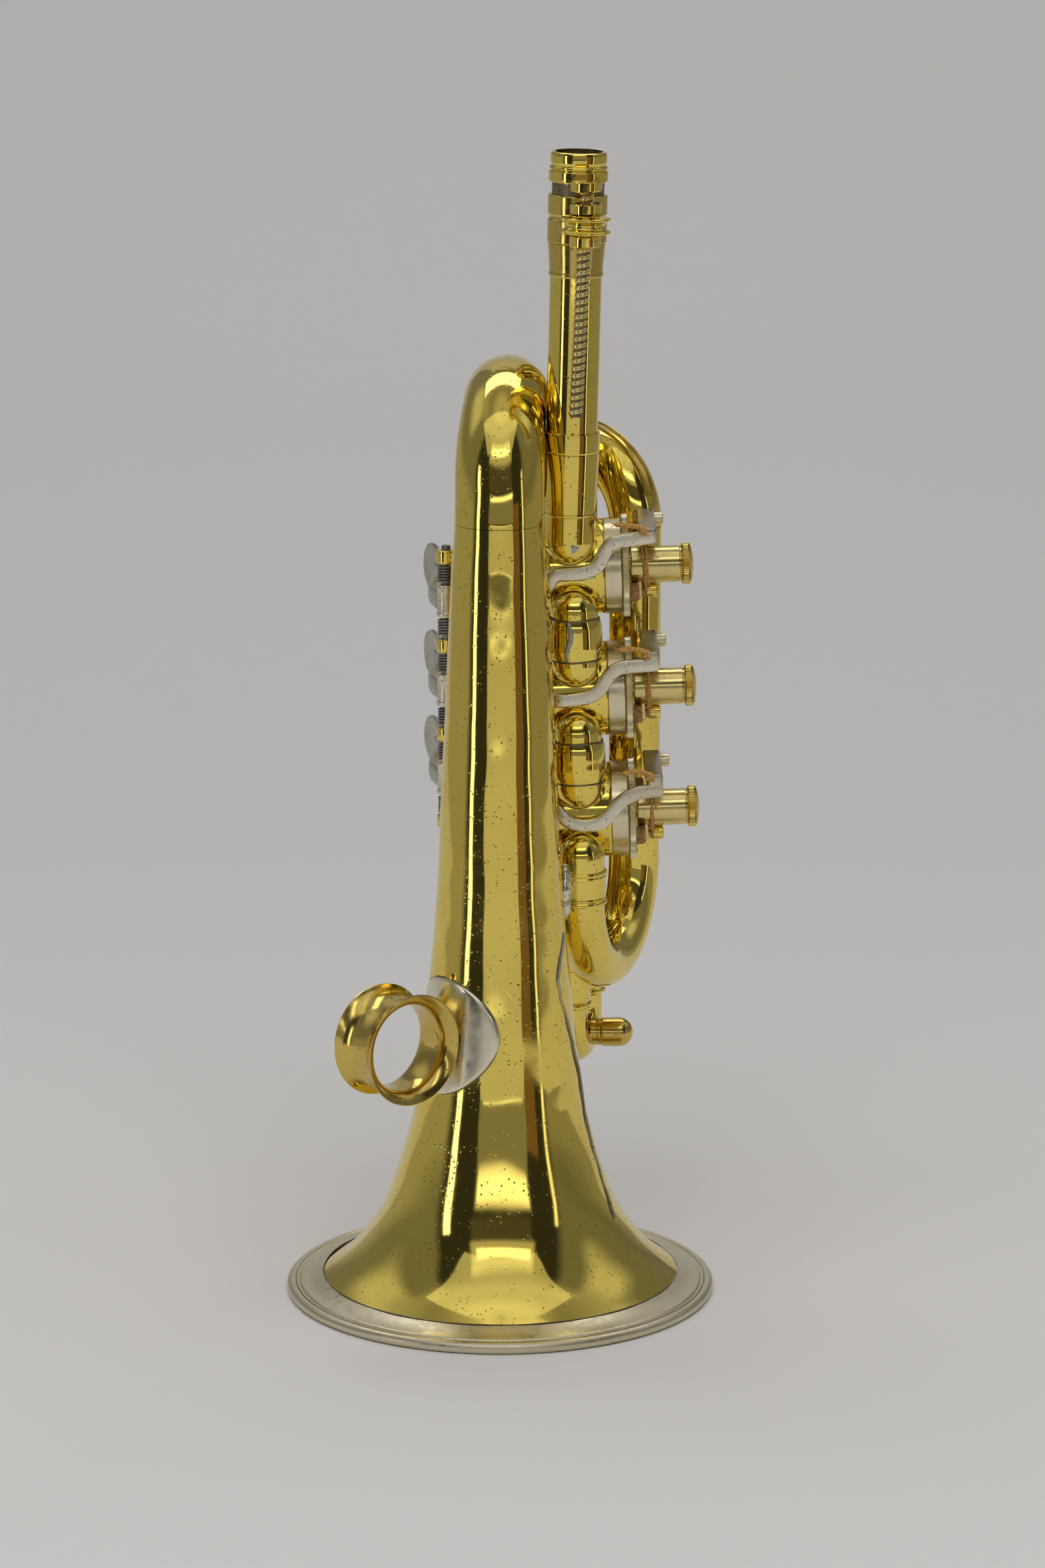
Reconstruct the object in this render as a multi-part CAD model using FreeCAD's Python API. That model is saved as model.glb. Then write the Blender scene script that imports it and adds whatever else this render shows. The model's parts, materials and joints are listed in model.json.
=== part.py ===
"""A rotary-valve cornet in B flat that stands on its bell.

Frame, in millimetres: the origin is the centre of the bell rim on the floor,
+Z runs up the bell axis, +X points the way the three valve axes point, and
+Y runs from the bell towards the back of the wrap.
"""
import FreeCAD, Part
import math
import os

V = FreeCAD.Vector
UP = V(0, 0, 1)
DOWN = V(0, 0, -1)
BACK = V(0, 1, 0)

# ---------------------------------------------------------------- driving sizes
WALL = 0.6                      # drawn brass tube and bell
RIM_R = 60.0                    # outside of the rolled rim
WIRE_R = 1.6                    # rolled rim wire
SEAM_R = 49.6                   # where the brass meets the nickel-silver garland
BOW_RISE = 30.0                 # radius of the big bow over the top
BOW_Z = 218.4                   # height at which the bell stem turns into the bow
TAIL_X = 4.0                    # sideways lean of the bow at its back leg

LEAD_FOOT = V(19.3, 15.5, 216.0)     # leadpipe axis, low and high
LEAD_HEAD = V(21.7, 15.5, 318.0)
LEAD_JOINT_Z = 218.1            # where the leadpipe meets the inlet elbow, inside its ferrule
SOCKET_BORE_R = 6.5             # takes the mouthpiece shank
SOCKET_DEPTH = 25.5
RECEIVER_R = 7.15               # sliding receiver, and the thinner pipe below it
INNER_PIPE_R = 6.45
SCREW_PITCH = 2.0
SCREW_R = 2.0
COLLAR_R = 8.15                 # collar of the receiver, with the two screw bosses

VALVE_LEAN = 1.8                # degrees, the valve row leans with its top to -X
VALVE_MID = V(21.3, 29.5, 165.8)     # rotor centre of the middle valve
VALVE_STEP = 34.8
PORT_RISE = 10.1                # ports above and below each rotor axis
PORT_SET = 14.0                 # front port tubes stand this far before the axis
PORT_R = 6.6
CASING_R = 13.3
CASING_REAR = 7.3               # from the rotor centre back to the end of the casing
CASING_BORE = 11.3
ROTOR_R = 11.25
STEM_R = 3.0
STEM_BORE = 3.05
HUB_R = 5.15

ROD = V(-14.9, 20.4, 0.0)       # hinge rod of the three keys
ROD_R = 1.3
KEY_Z = (192.8, 167.5, 142.3)
POST_Z = (205.2, 180.1, 155.0, 130.0)
ARM_FRONT = 14.7                # Y of the lever arms where they cross the casings
ARM_T = 1.5
ARM_H = 4.0

RETURN_XY = (38.5, 63.2)        # tube A, right-hand side
BACK_XY = (11.0, 91.7)          # tube C, at the back
TAIL_XY = (TAIL_X, 2 * BOW_RISE)     # tube D, foot of the big bow
LOWER_BOW_Z = 109.5
UPPER_BOW_Z = 206.1
TAIL_BOW_Z = 95.0

RING_ANGLE = 51.0               # finger ring, degrees from -Y towards -X
RING_Z = 77.0
RING_OUT = 36.3                 # ring centre from the bell axis
RING_LIP_R = 15.5
RING_HOLE_R = 11.6
RING_HALF = 8.0
DISC_R = 16.2

SLIDE_R = 6.0                   # outer legs of the valve slides
SLIDE_WALL = 0.5
SLIDE_GAP = 0.05                # running clearance of every sliding tube


# ---------------------------------------------------------------- small helpers
def save(name, *solids):
    """Write one node: its solids, checked, as one STEP file."""
    for solid in solids:
        if not solid.isValid() or len(solid.Solids) != 1:
            raise ValueError("bad solid in " + name)
    shape = solids[0] if len(solids) == 1 else Part.makeCompound(list(solids))
    shape.exportStep("parts/" + name + ".step")
    print("%-22s %2d solid(s) %9.1f mm3" % (name, len(solids), shape.Volume))


def only(shape):
    """The one solid of a boolean result."""
    solids = sorted(shape.Solids, key=lambda s: -s.Volume)
    return solids[0]


def unit(v):
    out = V(v)
    return out.normalize()


def rod(start, end, radius):
    return Part.makeCylinder(radius, (end - start).Length, start, end - start)


def pipe(start, end, r_out, r_in):
    """A straight tube between two points."""
    step = unit(end - start)
    return rod(start, end, r_out).cut(rod(start - step, end + step, r_in))


def cone_pipe(start, end, r0, r1, wall=WALL):
    """A straight tube whose outside goes from r0 to r1."""
    length = (end - start).Length
    axis = end - start
    if abs(r0 - r1) < 1e-6:
        return rod(start, end, r0).cut(rod(start, end, r0 - wall))
    outer = Part.makeCone(r0, r1, length, start, axis)
    return outer.cut(Part.makeCone(r0 - wall, r1 - wall, length, start, axis))


def turn(points, start, axis, splines=()):
    """Turn an outline of (radius, height) points about an axis through start.

    splines holds runs of point numbers that are drawn as one smooth curve.
    """
    pts = [V(r, 0, h) for r, h in points]
    edges = []
    i = 0
    while i < len(pts):
        run = next((s for s in splines if s[0] == i), None)
        last = run[1] if run else i + 1
        if run:
            curve = Part.BSplineCurve()
            curve.interpolate(pts[i:last + 1])
            edges.append(curve.toShape())
        else:
            a, b = pts[i], pts[last % len(pts)]
            if (a - b).Length > 1e-6:
                edges.append(Part.makeLine(a, b))
        i = last
    face = Part.Face(Part.Wire(edges))
    solid = face.revolve(V(0, 0, 0), UP, 360)
    solid = only(solid)
    solid.Placement = FreeCAD.Placement(start, FreeCAD.Rotation(UP, axis))
    return solid


def half_ring(a, b, rise, r0, r1, wall=WALL):
    """A bent tube: half a ring from a to b, bulging along rise."""
    mid = (a + b) * 0.5
    top = mid + unit(rise) * ((b - a).Length / 2)
    spine = Part.Wire([Part.Arc(a, top, b).toShape()])

    def body(ra, rb):
        ends = []
        for point, radius in ((a, ra), (b, rb)):
            ends.append(Part.Wire([Part.Circle(point, unit(rise), radius).toShape()]))
        return Part.Solid(spine.makePipeShell(ends, True, False))

    return only(body(r0, r1).cut(body(r0 - wall, r1 - wall)))


def bar(points, width_dir, height, thick):
    """A flat bar swept along a smooth path; thick lies along width_dir."""
    curve = Part.BSplineCurve()
    curve.interpolate(points)
    spine = Part.Wire([curve.toShape()])
    tangent = unit(curve.tangent(curve.FirstParameter)[0])
    across = unit(width_dir)
    side = unit(tangent.cross(across))
    across = side.cross(tangent)
    p = points[0]
    corners = []
    for s, t in ((-1, -1), (1, -1), (1, 1), (-1, 1), (-1, -1)):
        corners.append(p + side * (s * height / 2) + across * (t * thick / 2))
    section = Part.makePolygon(corners)
    shell = Part.BRepOffsetAPI.MakePipeShell(spine)
    shell.setBiNormalMode(unit(width_dir))
    shell.add(section)
    shell.build()
    shell.makeSolid()
    return only(Part.Solid(shell.shape()))


# ---------------------------------------------------------------- bell and garland
BELL_POINTS = (                 # outside of the bell: radius, height
    (SEAM_R, 5.2), (44.5, 8.9), (40.5, 12.9), (37.4, 16.9), (34.0, 22.1), (29.3, 33.3),
    (25.3, 47.0), (22.3, 65.0), (19.7, 88.0), (17.7, 115.0), (16.1, 146.0), (14.4, 178.0), (13.0, 206.0),
    (12.35, BOW_Z),
)
GARLAND_POINTS = ((57.4, 3.05), (53.6, 3.75), (SEAM_R, 5.2))


def inside(points, depth):
    """The same curve moved in by depth, square to itself."""
    out = []
    for i, (r, z) in enumerate(points):
        r0, z0 = points[max(i - 1, 0)]
        r1, z1 = points[min(i + 1, len(points) - 1)]
        length = math.hypot(r1 - r0, z1 - z0)
        out.append((r - depth * (z1 - z0) / length, z + depth * (r1 - r0) / length))
    return out


def bell_body(depth_out, depth_in):
    """The bell between two depths below its outside."""
    outer = inside(BELL_POINTS, depth_out)
    inner = inside(BELL_POINTS, depth_in)
    outer[-1] = (outer[-1][0], BOW_Z)
    inner[-1] = (inner[-1][0], BOW_Z)
    n = len(outer)
    return turn(outer + inner[::-1], V(0, 0, 0), UP, ((0, n - 1), (n, 2 * n - 1)))


def make_bell():
    bell = bell_body(0, WALL)
    save("bell", bell)

    band = list(GARLAND_POINTS)
    under = inside(band, WALL)
    under[-1] = inside(BELL_POINTS, WALL)[0]
    garland = turn(band + under[::-1], V(0, 0, 0), UP, ((0, 2), (3, 5)))
    wire = Part.makeTorus(RIM_R - WIRE_R, WIRE_R, V(0, 0, WIRE_R - 0.1), UP)
    wire = only(wire.cut(Part.makeCylinder(RIM_R + 5, 5, DOWN * 5)))
    save("bell_garland", only(garland.cut(wire)))
    save("bell_rim_wire", wire)
    return bell


def make_finger_ring():
    angle = math.radians(RING_ANGLE)
    out = V(-math.sin(angle), -math.cos(angle), 0)
    hole = V(math.cos(angle), -math.sin(angle), 0)
    skin = bell_body(-WALL, 0)
    cutter = Part.makeCylinder(DISC_R, 60, V(0, 0, RING_Z), out)
    disc = only(skin.common(cutter))
    save("ring_disc", disc)

    centre = out * RING_OUT + UP * RING_Z
    wall = 0.8
    shape = []                  # spool outline: thin flared lips and a round waist
    waist = RING_HOLE_R + wall
    shape += [(RING_HOLE_R, 0), (RING_HOLE_R + 0.25, 3.5), (RING_HOLE_R + 1.2, 6.2), (RING_LIP_R - 0.3, RING_HALF)]
    shape += [(RING_LIP_R, RING_HALF - 0.6), (waist + 1.3, 5.4), (waist + 0.3, 3.0), (waist, 0)]
    upper = turn(shape, centre, hole, ((0, 3), (4, 7)))
    lower = turn(shape, centre, hole * -1, ((0, 3), (4, 7)))
    foot = Part.makeBox(8.0, 14.0, 7.0, V(-4.0, -7.0, 0))
    foot.Placement = FreeCAD.Placement(out * 19.0 + UP * RING_Z, FreeCAD.Rotation(hole, UP, out, "ZXY"))
    foot = foot.cut(bell_body(-WALL, WALL)).cut(rod(centre - hole * 10, centre + hole * 10, waist - 0.4))
    foot = foot.cut(Part.makeCylinder(19.5, 40, V(0, 0, RING_Z - 20)))
    save("finger_ring", only(upper.fuse(lower).fuse(only(foot)).removeSplitter()))


# ---------------------------------------------------------------- the wrap behind the bell
def at(xy, z):
    return V(xy[0], xy[1], z)


def ferrule(centre, axis, r_tube, length=7.0, rise=0.5):
    """A sleeve with a raised ring at each end, over a tube joint."""
    half = length / 2
    outline = [(r_tube, -half), (r_tube + rise + 0.35, -half), (r_tube + rise + 0.35, -half + 1.0)]
    outline += [(r_tube + rise, -half + 1.2), (r_tube + rise, half - 1.2), (r_tube + rise + 0.35, half - 1.0)]
    outline += [(r_tube + rise + 0.35, half), (r_tube, half)]
    return turn(outline, centre, axis)


def make_wrap():
    front = V(0, 0, BOW_Z)
    save("bell_bow", half_ring(at(TAIL_XY, BOW_Z), front, UP, 10.4, 12.35))
    save("tail_tube", only(cone_pipe(at(TAIL_XY, TAIL_BOW_Z), at(TAIL_XY, BOW_Z), 9.0, 10.4)))
    save("tail_bow", half_ring(at(BACK_XY, TAIL_BOW_Z), at(TAIL_XY, TAIL_BOW_Z), DOWN, 8.4, 9.0))
    save("back_tube", only(cone_pipe(at(BACK_XY, TAIL_BOW_Z), at(BACK_XY, UPPER_BOW_Z), 8.4, 8.0)))
    a, c = at(RETURN_XY, UPPER_BOW_Z), at(BACK_XY, UPPER_BOW_Z)
    save("upper_bow", half_ring(a, c, UP, 7.5, 8.0))
    save("return_tube", only(cone_pipe(at(RETURN_XY, LOWER_BOW_Z), a, 7.3, 7.5)))

    guard_r = (c - a).Length / 2 + 8.3
    mid = (a + c) * 0.5
    side = unit(c - a)
    spine_points = []
    for degrees in (20, 90, 160):
        angle = math.radians(degrees)
        spine_points.append(mid + side * (-guard_r * math.cos(angle)) + UP * (guard_r * math.sin(angle)))
    spine = Part.Wire([Part.Arc(*spine_points).toShape()])
    start_dir = side * math.sin(math.radians(20)) + UP * math.cos(math.radians(20))
    section = Part.Wire([Part.Circle(spine_points[0], start_dir, 0.9).toShape()])
    guard = only(Part.Solid(spine.makePipeShell([section], True, False)))
    save("bow_guard", only(guard.cut(half_body(a, c, UP, 7.5, 8.0))))

    outlet = port_point(3, -1) + DOWN * (port_point(3, -1).z - LOWER_BOW_Z)
    save("lower_bow", half_ring(at((outlet.x, outlet.y), LOWER_BOW_Z), at(RETURN_XY, LOWER_BOW_Z), DOWN, PORT_R, 7.3))

    rings = [ferrule(at(TAIL_XY, BOW_Z - 5), UP, 10.46, 10.0, 0.3)]
    rings.append(ferrule(at(TAIL_XY, TAIL_BOW_Z + 5), UP, 9.1, 9.0))
    rings.append(ferrule(at(BACK_XY, TAIL_BOW_Z + 5), UP, 8.45, 9.0))
    rings.append(ferrule(at(BACK_XY, UPPER_BOW_Z - 5), UP, 8.05, 9.0))
    foot = at((outlet.x, outlet.y), 112.3)
    sleeve = ferrule(foot, UP, PORT_R + 0.02, 9.6, 0.35)
    bow = half_body(at((outlet.x, outlet.y), LOWER_BOW_Z), at(RETURN_XY, LOWER_BOW_Z), DOWN, PORT_R, 7.3)
    elbow = port_point(3, -1)
    rings.append(only(sleeve.cut(bow).cut(rod(elbow, elbow + BACK * 20, PORT_R + 0.02))))
    save("tube_ferrules", *rings)


def half_body(a, b, rise, r0, r1):
    """The filled shape of a bent tube."""
    mid = (a + b) * 0.5
    top = mid + unit(rise) * ((b - a).Length / 2)
    spine = Part.Wire([Part.Arc(a, top, b).toShape()])
    ends = []
    for point, radius in ((a, r0), (b, r1)):
        ends.append(Part.Wire([Part.Circle(point, unit(rise), radius).toShape()]))
    return only(Part.Solid(spine.makePipeShell(ends, True, False)))


def make_stays():
    """The soldered stays that hold the wrap together."""
    def stay(p, r_p, q, r_q, radius):
        step = unit(q - p)
        a, b = p + step * (r_p - 0.05), q - step * (r_q - 0.05)
        post = rod(a, b, radius)
        feet = [Part.makeCone(3.2, radius, 1.6, a, step), Part.makeCone(3.2, radius, 1.6, b, step * -1)]
        return post.fuse(feet[0]).fuse(feet[1])

    back = stay(at(TAIL_XY, 140), 9.6, at(BACK_XY, 140), 8.3, 1.6)
    back = back.cut(rod(at(TAIL_XY, 130), at(TAIL_XY, 150), 9.6)).cut(rod(at(BACK_XY, 130), at(BACK_XY, 150), 8.3))
    side = stay(at(BACK_XY, 190), 8.1, at(RETURN_XY, 190), 7.5, 1.6)
    side = side.cut(rod(at(BACK_XY, 180), at(BACK_XY, 200), 8.1)).cut(rod(at(RETURN_XY, 180), at(RETURN_XY, 200), 7.5))
    outlet = port_point(3, -1)
    foot = V(outlet.x, outlet.y, 0)
    step = unit(foot)
    low = Part.makeBox(16.0, 2.4, 16.0, V(14.0, -1.2, 98.0))
    low.rotate(V(0, 0, 0), UP, math.degrees(math.atan2(step.y, step.x)))
    low = low.cut(bell_core(106.0, 9.0, 0.06)).cut(rod(foot + UP * 90, foot + UP * 125, PORT_R + 0.78))
    save("stays", only(back), only(side), only(low))


def bell_radius(z):
    """Outside radius of the bell at a height."""
    curve = Part.BSplineCurve()
    curve.interpolate([V(r, 0, h) for r, h in BELL_POINTS])
    low, high = curve.FirstParameter, curve.LastParameter
    for _ in range(40):
        mid = (low + high) / 2
        if curve.value(mid).z < z:
            low = mid
        else:
            high = mid
    return curve.value(low).x


def bell_core(z, reach, gap=0.02):
    """A filled stretch of the bell about a height, as a cutter."""
    low, high = bell_radius(z - reach) + gap, bell_radius(z + reach) + gap
    return Part.makeCone(low, high, 2 * reach, V(0, 0, z - reach), UP)


# ---------------------------------------------------------------- leadpipe and its screw
LEAD_AXIS = unit(LEAD_HEAD - LEAD_FOOT)


def lead(z):
    """The point of the leadpipe axis at a height."""
    return LEAD_FOOT + LEAD_AXIS * ((z - LEAD_FOOT.z) / LEAD_AXIS.z)


def screw_at(z):
    """The point of the adjusting screw's axis at a height: front right of the pipe."""
    return lead(z) + V(2.0, -15.1, 0)


def make_leadpipe():
    pipe_r = 7.1
    save("leadpipe", only(pipe(lead(LEAD_JOINT_Z + 0.1), lead(288.4), pipe_r, INNER_PIPE_R + SLIDE_GAP)))

    bore = RECEIVER_R + SLIDE_GAP
    collar = [(pipe_r, -8.6), (7.35, -8.6), (7.5, -7.8), (7.35, -7.0), (7.85, 0.6), (8.0, 0.7), (COLLAR_R, 0.9)]
    collar += [(COLLAR_R, 6.8), (8.0, 7.0), (7.75, 7.3), (7.75, 8.1), (8.0, 8.4), (COLLAR_R, 8.6), (COLLAR_R, 13.5)]
    collar += [(7.9, 13.8), (bore, 13.8), (bore, -4.1), (pipe_r, -4.1)]
    save("leadpipe_collar", turn(collar, lead(292.6), LEAD_AXIS))

    foot = [(pipe_r, 0.9), (7.2, 0.9), (7.3, 1.2), (7.3, 1.8), (7.2, 2.2), (7.7, 19.6), (7.8, 25.3), (pipe_r, 25.3)]
    ferrule = turn(foot, lead(216.0), LEAD_AXIS)
    elbow = lead(port_point(1, 1).z + 0.2)
    ferrule = ferrule.cut(rod(elbow, elbow + BACK * 20, PORT_R + 0.02))
    bow = half_body(at(TAIL_XY, BOW_Z), V(0, 0, BOW_Z), UP, 10.4, 12.35)
    save("leadpipe_ferrule", only(ferrule.cut(bow)))

    bosses = []
    for low, high in ((302.8, 305.6), (293.9, 296.9)):
        boss = screw_block(low, high, 3.3).cut(rod(screw_at(low - 2), screw_at(high + 2), SCREW_R + 0.1))
        bosses.append(only(boss))
    save("adjuster_bosses", *bosses)

    wheel = [(SCREW_R + 0.1, 0.05), (4.6, 0.05), (6.5, 0.45), (6.75, 0.6), (6.75, 1.1), (6.5, 1.3), (5.3, 2.2)]
    wheel += [(5.3, 3.0), (6.5, 3.9), (6.75, 4.1), (6.75, 4.6), (6.5, 4.8), (4.6, 5.4), (SCREW_R + 0.1, 5.4)]
    save("adjuster_wheel", turn(wheel, screw_at(297.1), LEAD_AXIS))


def screw_block(low, high, half_width):
    """A round-nosed block in front of the collar, on the screw's axis."""
    mid = screw_at((low + high) / 2)
    web = Part.makeBox(2 * half_width, 12.0, high - low, V(mid.x - half_width, mid.y, low))
    return rod(screw_at(low), screw_at(high), 4.25).fuse(web).cut(rod(lead(280), lead(320), COLLAR_R))


def make_shank():
    """The sliding inner pipe with the mouthpiece socket, its lug and its screw."""
    socket = [(SOCKET_BORE_R, 0), (7.1, 0), (7.6, 0.4), (7.75, 1.6), (7.65, 3.0), (7.45, 3.5), (7.85, 3.8), (8.0, 4.3)]
    socket += [(7.85, 4.7), (7.75, 4.9), (8.0, 5.2), (8.1, 5.4), (8.1, 7.9), (7.95, 8.1), (RECEIVER_R, 8.1)]
    socket += [(RECEIVER_R, 27.4), (INNER_PIPE_R, 27.4), (INNER_PIPE_R, 74.0), (5.8, 74.0), (5.8, SOCKET_DEPTH)]
    socket += [(SOCKET_BORE_R, SOCKET_DEPTH)]
    outline = [(r, -h) for r, h in socket]
    save("mouthpipe_socket", turn(outline, lead(318.0), LEAD_AXIS))

    low, high = 308.9, 311.7
    screw_top = low + 1.6
    lug = screw_block(low, high, 3.6).cut(rod(screw_at(low - 1), screw_at(screw_top), SCREW_R))
    save("adjuster_lug", only(lug))

    screw_foot = 247.0
    root = SCREW_R - 0.5
    length = screw_top - screw_foot
    outline = [(0, 0), (root, 0)]
    for i in range(int(length // SCREW_PITCH) - 1):
        z = i * SCREW_PITCH
        outline += [(SCREW_R, z + 0.5), (SCREW_R, z + 1.1), (root, z + 1.6), (root, z + 2.0)]
    outline += [(SCREW_R, length - 2.0), (SCREW_R, length), (0, length)]
    save("adjuster_screw", turn(outline, screw_at(screw_foot), LEAD_AXIS))


# ---------------------------------------------------------------- valves
LEAN = FreeCAD.Rotation(V(0, 1, 0), -VALVE_LEAN)
ALONG = LEAN.multVec(V(1, 0, 0))         # valve axes
ROW = LEAN.multVec(UP)                   # up the row of valves


def rotor_centre(n):
    return VALVE_MID + ROW * (VALVE_STEP * (2 - n))


def spot(n, u, y, w):
    """A point of valve n: u along its axis, y behind it, w up the row."""
    return rotor_centre(n) + ALONG * u + BACK * y + ROW * w


def port_point(n, side):
    """Where the front port tube of valve n turns into the casing."""
    return spot(n, 0, -PORT_SET, side * PORT_RISE)


def knuckle(n, turn_at, end, radius, bore):
    """A dome elbow: a port tube that leaves the casing and turns towards end."""
    centre = rotor_centre(n)
    inward = V(turn_at.x, centre.y, turn_at.z)
    body = Part.makeSphere(radius, turn_at).fuse(rod(turn_at, end, radius)).fuse(rod(turn_at, inward, PORT_R))
    hollow = Part.makeSphere(bore, turn_at).fuse(rod(turn_at, end + unit(end - turn_at), bore))
    hollow = hollow.fuse(rod(turn_at, inward, bore))
    casing = rod(centre - ALONG * 20, centre + ALONG * 20, CASING_R)
    return only(body.cut(hollow).cut(casing))


def make_casing(n):
    centre = rotor_centre(n)
    edge = Part.makeCone(CASING_R - 0.9, CASING_R, 0.9, centre - ALONG * CASING_REAR, ALONG)
    shell = edge.fuse(rod(centre - ALONG * (CASING_REAR - 0.9), centre + ALONG * 8.9, CASING_R)).removeSplitter()
    shell = shell.cut(rod(centre - ALONG * 5.8, centre + ALONG * 10, CASING_BORE))
    shell = shell.cut(rod(centre - ALONG * 10, centre, 5.5))
    for y in (-1, 1):
        for w in (-1, 1):
            mouth = centre + ROW * (w * PORT_RISE)
            shell = shell.cut(rod(mouth, mouth + BACK * (y * 20), PORT_R - WALL))
    save("valve_casing_%d" % n, only(shell))


def make_rotor(n):
    """Rotor with its two air passages and its stems."""
    centre = rotor_centre(n)
    body = rod(centre - ALONG * 5.7, centre + ALONG * 8.0, ROTOR_R)
    for side in (-1, 1):
        groove = Part.makeTorus(13.6, 5.2, spot(n, 0, side * 15.5, 0), ALONG)
        body = body.cut(groove)
    body = body.fuse(rod(centre - ALONG * 10.5, centre - ALONG * 5.7, STEM_R))
    body = body.fuse(rod(centre + ALONG * 8.0, centre + ALONG * 30.4, STEM_R))
    save("rotor_%d" % n, only(body))

    hub = pipe(centre + ALONG * 16.2, centre + ALONG * 30.4, HUB_R, STEM_R)
    arm = Part.makeBox(3.2, 5.0, 9.2)
    arm.Placement = FreeCAD.Placement(spot(n, 16.3, -2.5, -9.2), LEAN)
    arm = arm.cut(rod(centre, centre + ALONG * 30, STEM_R))
    pin = spot(n, 19.5, 0, -7.3)
    screw = rod(pin, pin + ALONG * 1.2, 1.0).fuse(rod(pin + ALONG * 1.2, pin + ALONG * 4.0, 1.95))
    slot = Part.makeBox(1.0, 0.7, 5.0)
    slot.Placement = FreeCAD.Placement(spot(n, 22.9, -0.35, -9.8), LEAN)
    save("stop_hub_%d" % n, only(hub.fuse(arm)), only(screw.cut(slot)))

    cap = [(0, 0), (5.3, 0), (5.75, 0.4), (5.75, 2.2), (5.3, 2.7), (3.0, 3.3), (0, 3.5)]
    save("hub_cap_%d" % n, turn(cap, centre + ALONG * 30.4, ALONG))


def make_valve_fronts():
    """Bearing plates, knurled clamp rings, rear caps and cork stops of all three."""
    plates, rings, caps, corks = [], [], [], []
    for n in (1, 2, 3):
        centre = rotor_centre(n)
        plate = [(STEM_BORE, -0.5), (CASING_BORE - 0.1, -0.5), (CASING_BORE - 0.1, 0), (13.4, 0), (13.4, 4.9)]
        plate += [(STEM_BORE, 4.9)]
        plates.append(turn(plate, centre + ALONG * 8.9, ALONG))
        ring = [(11.8, 0), (14.0, 0), (14.35, 0.3), (14.35, 1.7), (14.0, 2.0), (11.8, 2.0)]
        rings.append(turn(ring, centre + ALONG * 13.8, ALONG))
        cap = [(0, -11.8), (8.2, -11.8), (9.2, -10.9), (9.2, -7.3), (5.4, -7.3), (5.4, -5.9), (STEM_BORE, -5.9)]
        cap += [(STEM_BORE, -10.6), (0, -10.6)]
        caps.append(turn(cap, centre, ALONG))
        for y, w in ((-7.0, -9.1), (5.0, 2.8)):
            cork = Part.makeBox(4.6, 4.2 if y < 0 else 4.0, 4.6 if y < 0 else 4.0)
            cork.Placement = FreeCAD.Placement(spot(n, 13.8, y, w), LEAN)
            corks.append(cork)
    save("bearing_plates", *plates)
    save("clamp_rings", *rings)
    save("rear_caps", *caps)
    save("cork_stops", *corks)


def make_port_tubes():
    bore = PORT_R - WALL
    inlet = knuckle(1, lead(port_point(1, 1).z + 0.2), lead(LEAD_JOINT_Z), 7.1, 6.4)
    save("inlet_elbow", inlet)
    low = port_point(3, -1)
    save("outlet_elbow", knuckle(3, low, V(low.x, low.y, LOWER_BOW_Z), PORT_R, bore))
    for n in (1, 2):
        a, b = port_point(n, -1), port_point(n + 1, 1)
        step = unit(b - a)
        length = (b - a).Length
        upper = knuckle(n, a, a + step * (length / 2), PORT_R, bore)
        lower = knuckle(n + 1, b, b - step * (length / 2), PORT_R, bore)
        sleeve = [(PORT_R + 0.01, 1.6), (7.2, 1.6), (7.6, 4.0), (7.65, length / 2), (7.6, length - 4.0)]
        sleeve += [(7.2, length - 1.6), (PORT_R + 0.01, length - 1.6)]
        sleeve = turn(sleeve, a, step, ((1, 5),))
        for k, corner in ((n, a), (n + 1, b)):
            centre = rotor_centre(k)
            sleeve = sleeve.cut(rod(centre - ALONG * 20, centre + ALONG * 20, CASING_R + 0.05))
            sleeve = sleeve.cut(rod(corner, V(corner.x, centre.y, corner.z), PORT_R + 0.01))
        save("link_%d_%d" % (n, n + 1), upper, lower, only(sleeve))


# ---------------------------------------------------------------- valve slides
# front and back leg of each slide, and which way they run
SLIDE_LEGS = {
    1: ((21.4, 46.0, 1), (21.4, 59.5, -1), UP, 280.0, 284.0),
    3: ((19.8, 50.0, -1), (24.0, 66.0, 1), DOWN, 69.5, 63.3),
}


def slide_leg(n, x, y, side, end_z):
    """One outer leg: out of the casing's back, round a dome elbow, then straight."""
    port = spot(n, 0, 0, side * PORT_RISE)
    corner = V(x, y, port.z)
    root = V(port.x, port.y, port.z)
    end = V(x, y, end_z)
    body = Part.makeSphere(SLIDE_R, corner).fuse(rod(root, corner, SLIDE_R)).fuse(rod(corner, end, SLIDE_R))
    bore = SLIDE_R - SLIDE_WALL
    hollow = Part.makeSphere(bore, corner).fuse(rod(root, corner, bore))
    hollow = hollow.fuse(rod(corner, end + unit(end - corner), bore))
    centre = rotor_centre(n)
    return only(body.cut(hollow).cut(rod(centre - ALONG * 20, centre + ALONG * 20, CASING_R)))


def slide_crook(a, b, end_a, end_b, rise):
    """The inner legs and the bow of a slide, as one tube."""
    r = SLIDE_R - SLIDE_WALL - SLIDE_GAP
    bow = half_ring(end_a, end_b, rise, r, r, SLIDE_WALL)
    legs = [pipe(a, end_a, r, r - SLIDE_WALL), pipe(b, end_b, r, r - SLIDE_WALL)]
    return only(bow.fuse(legs[0]).fuse(legs[1]))


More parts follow.
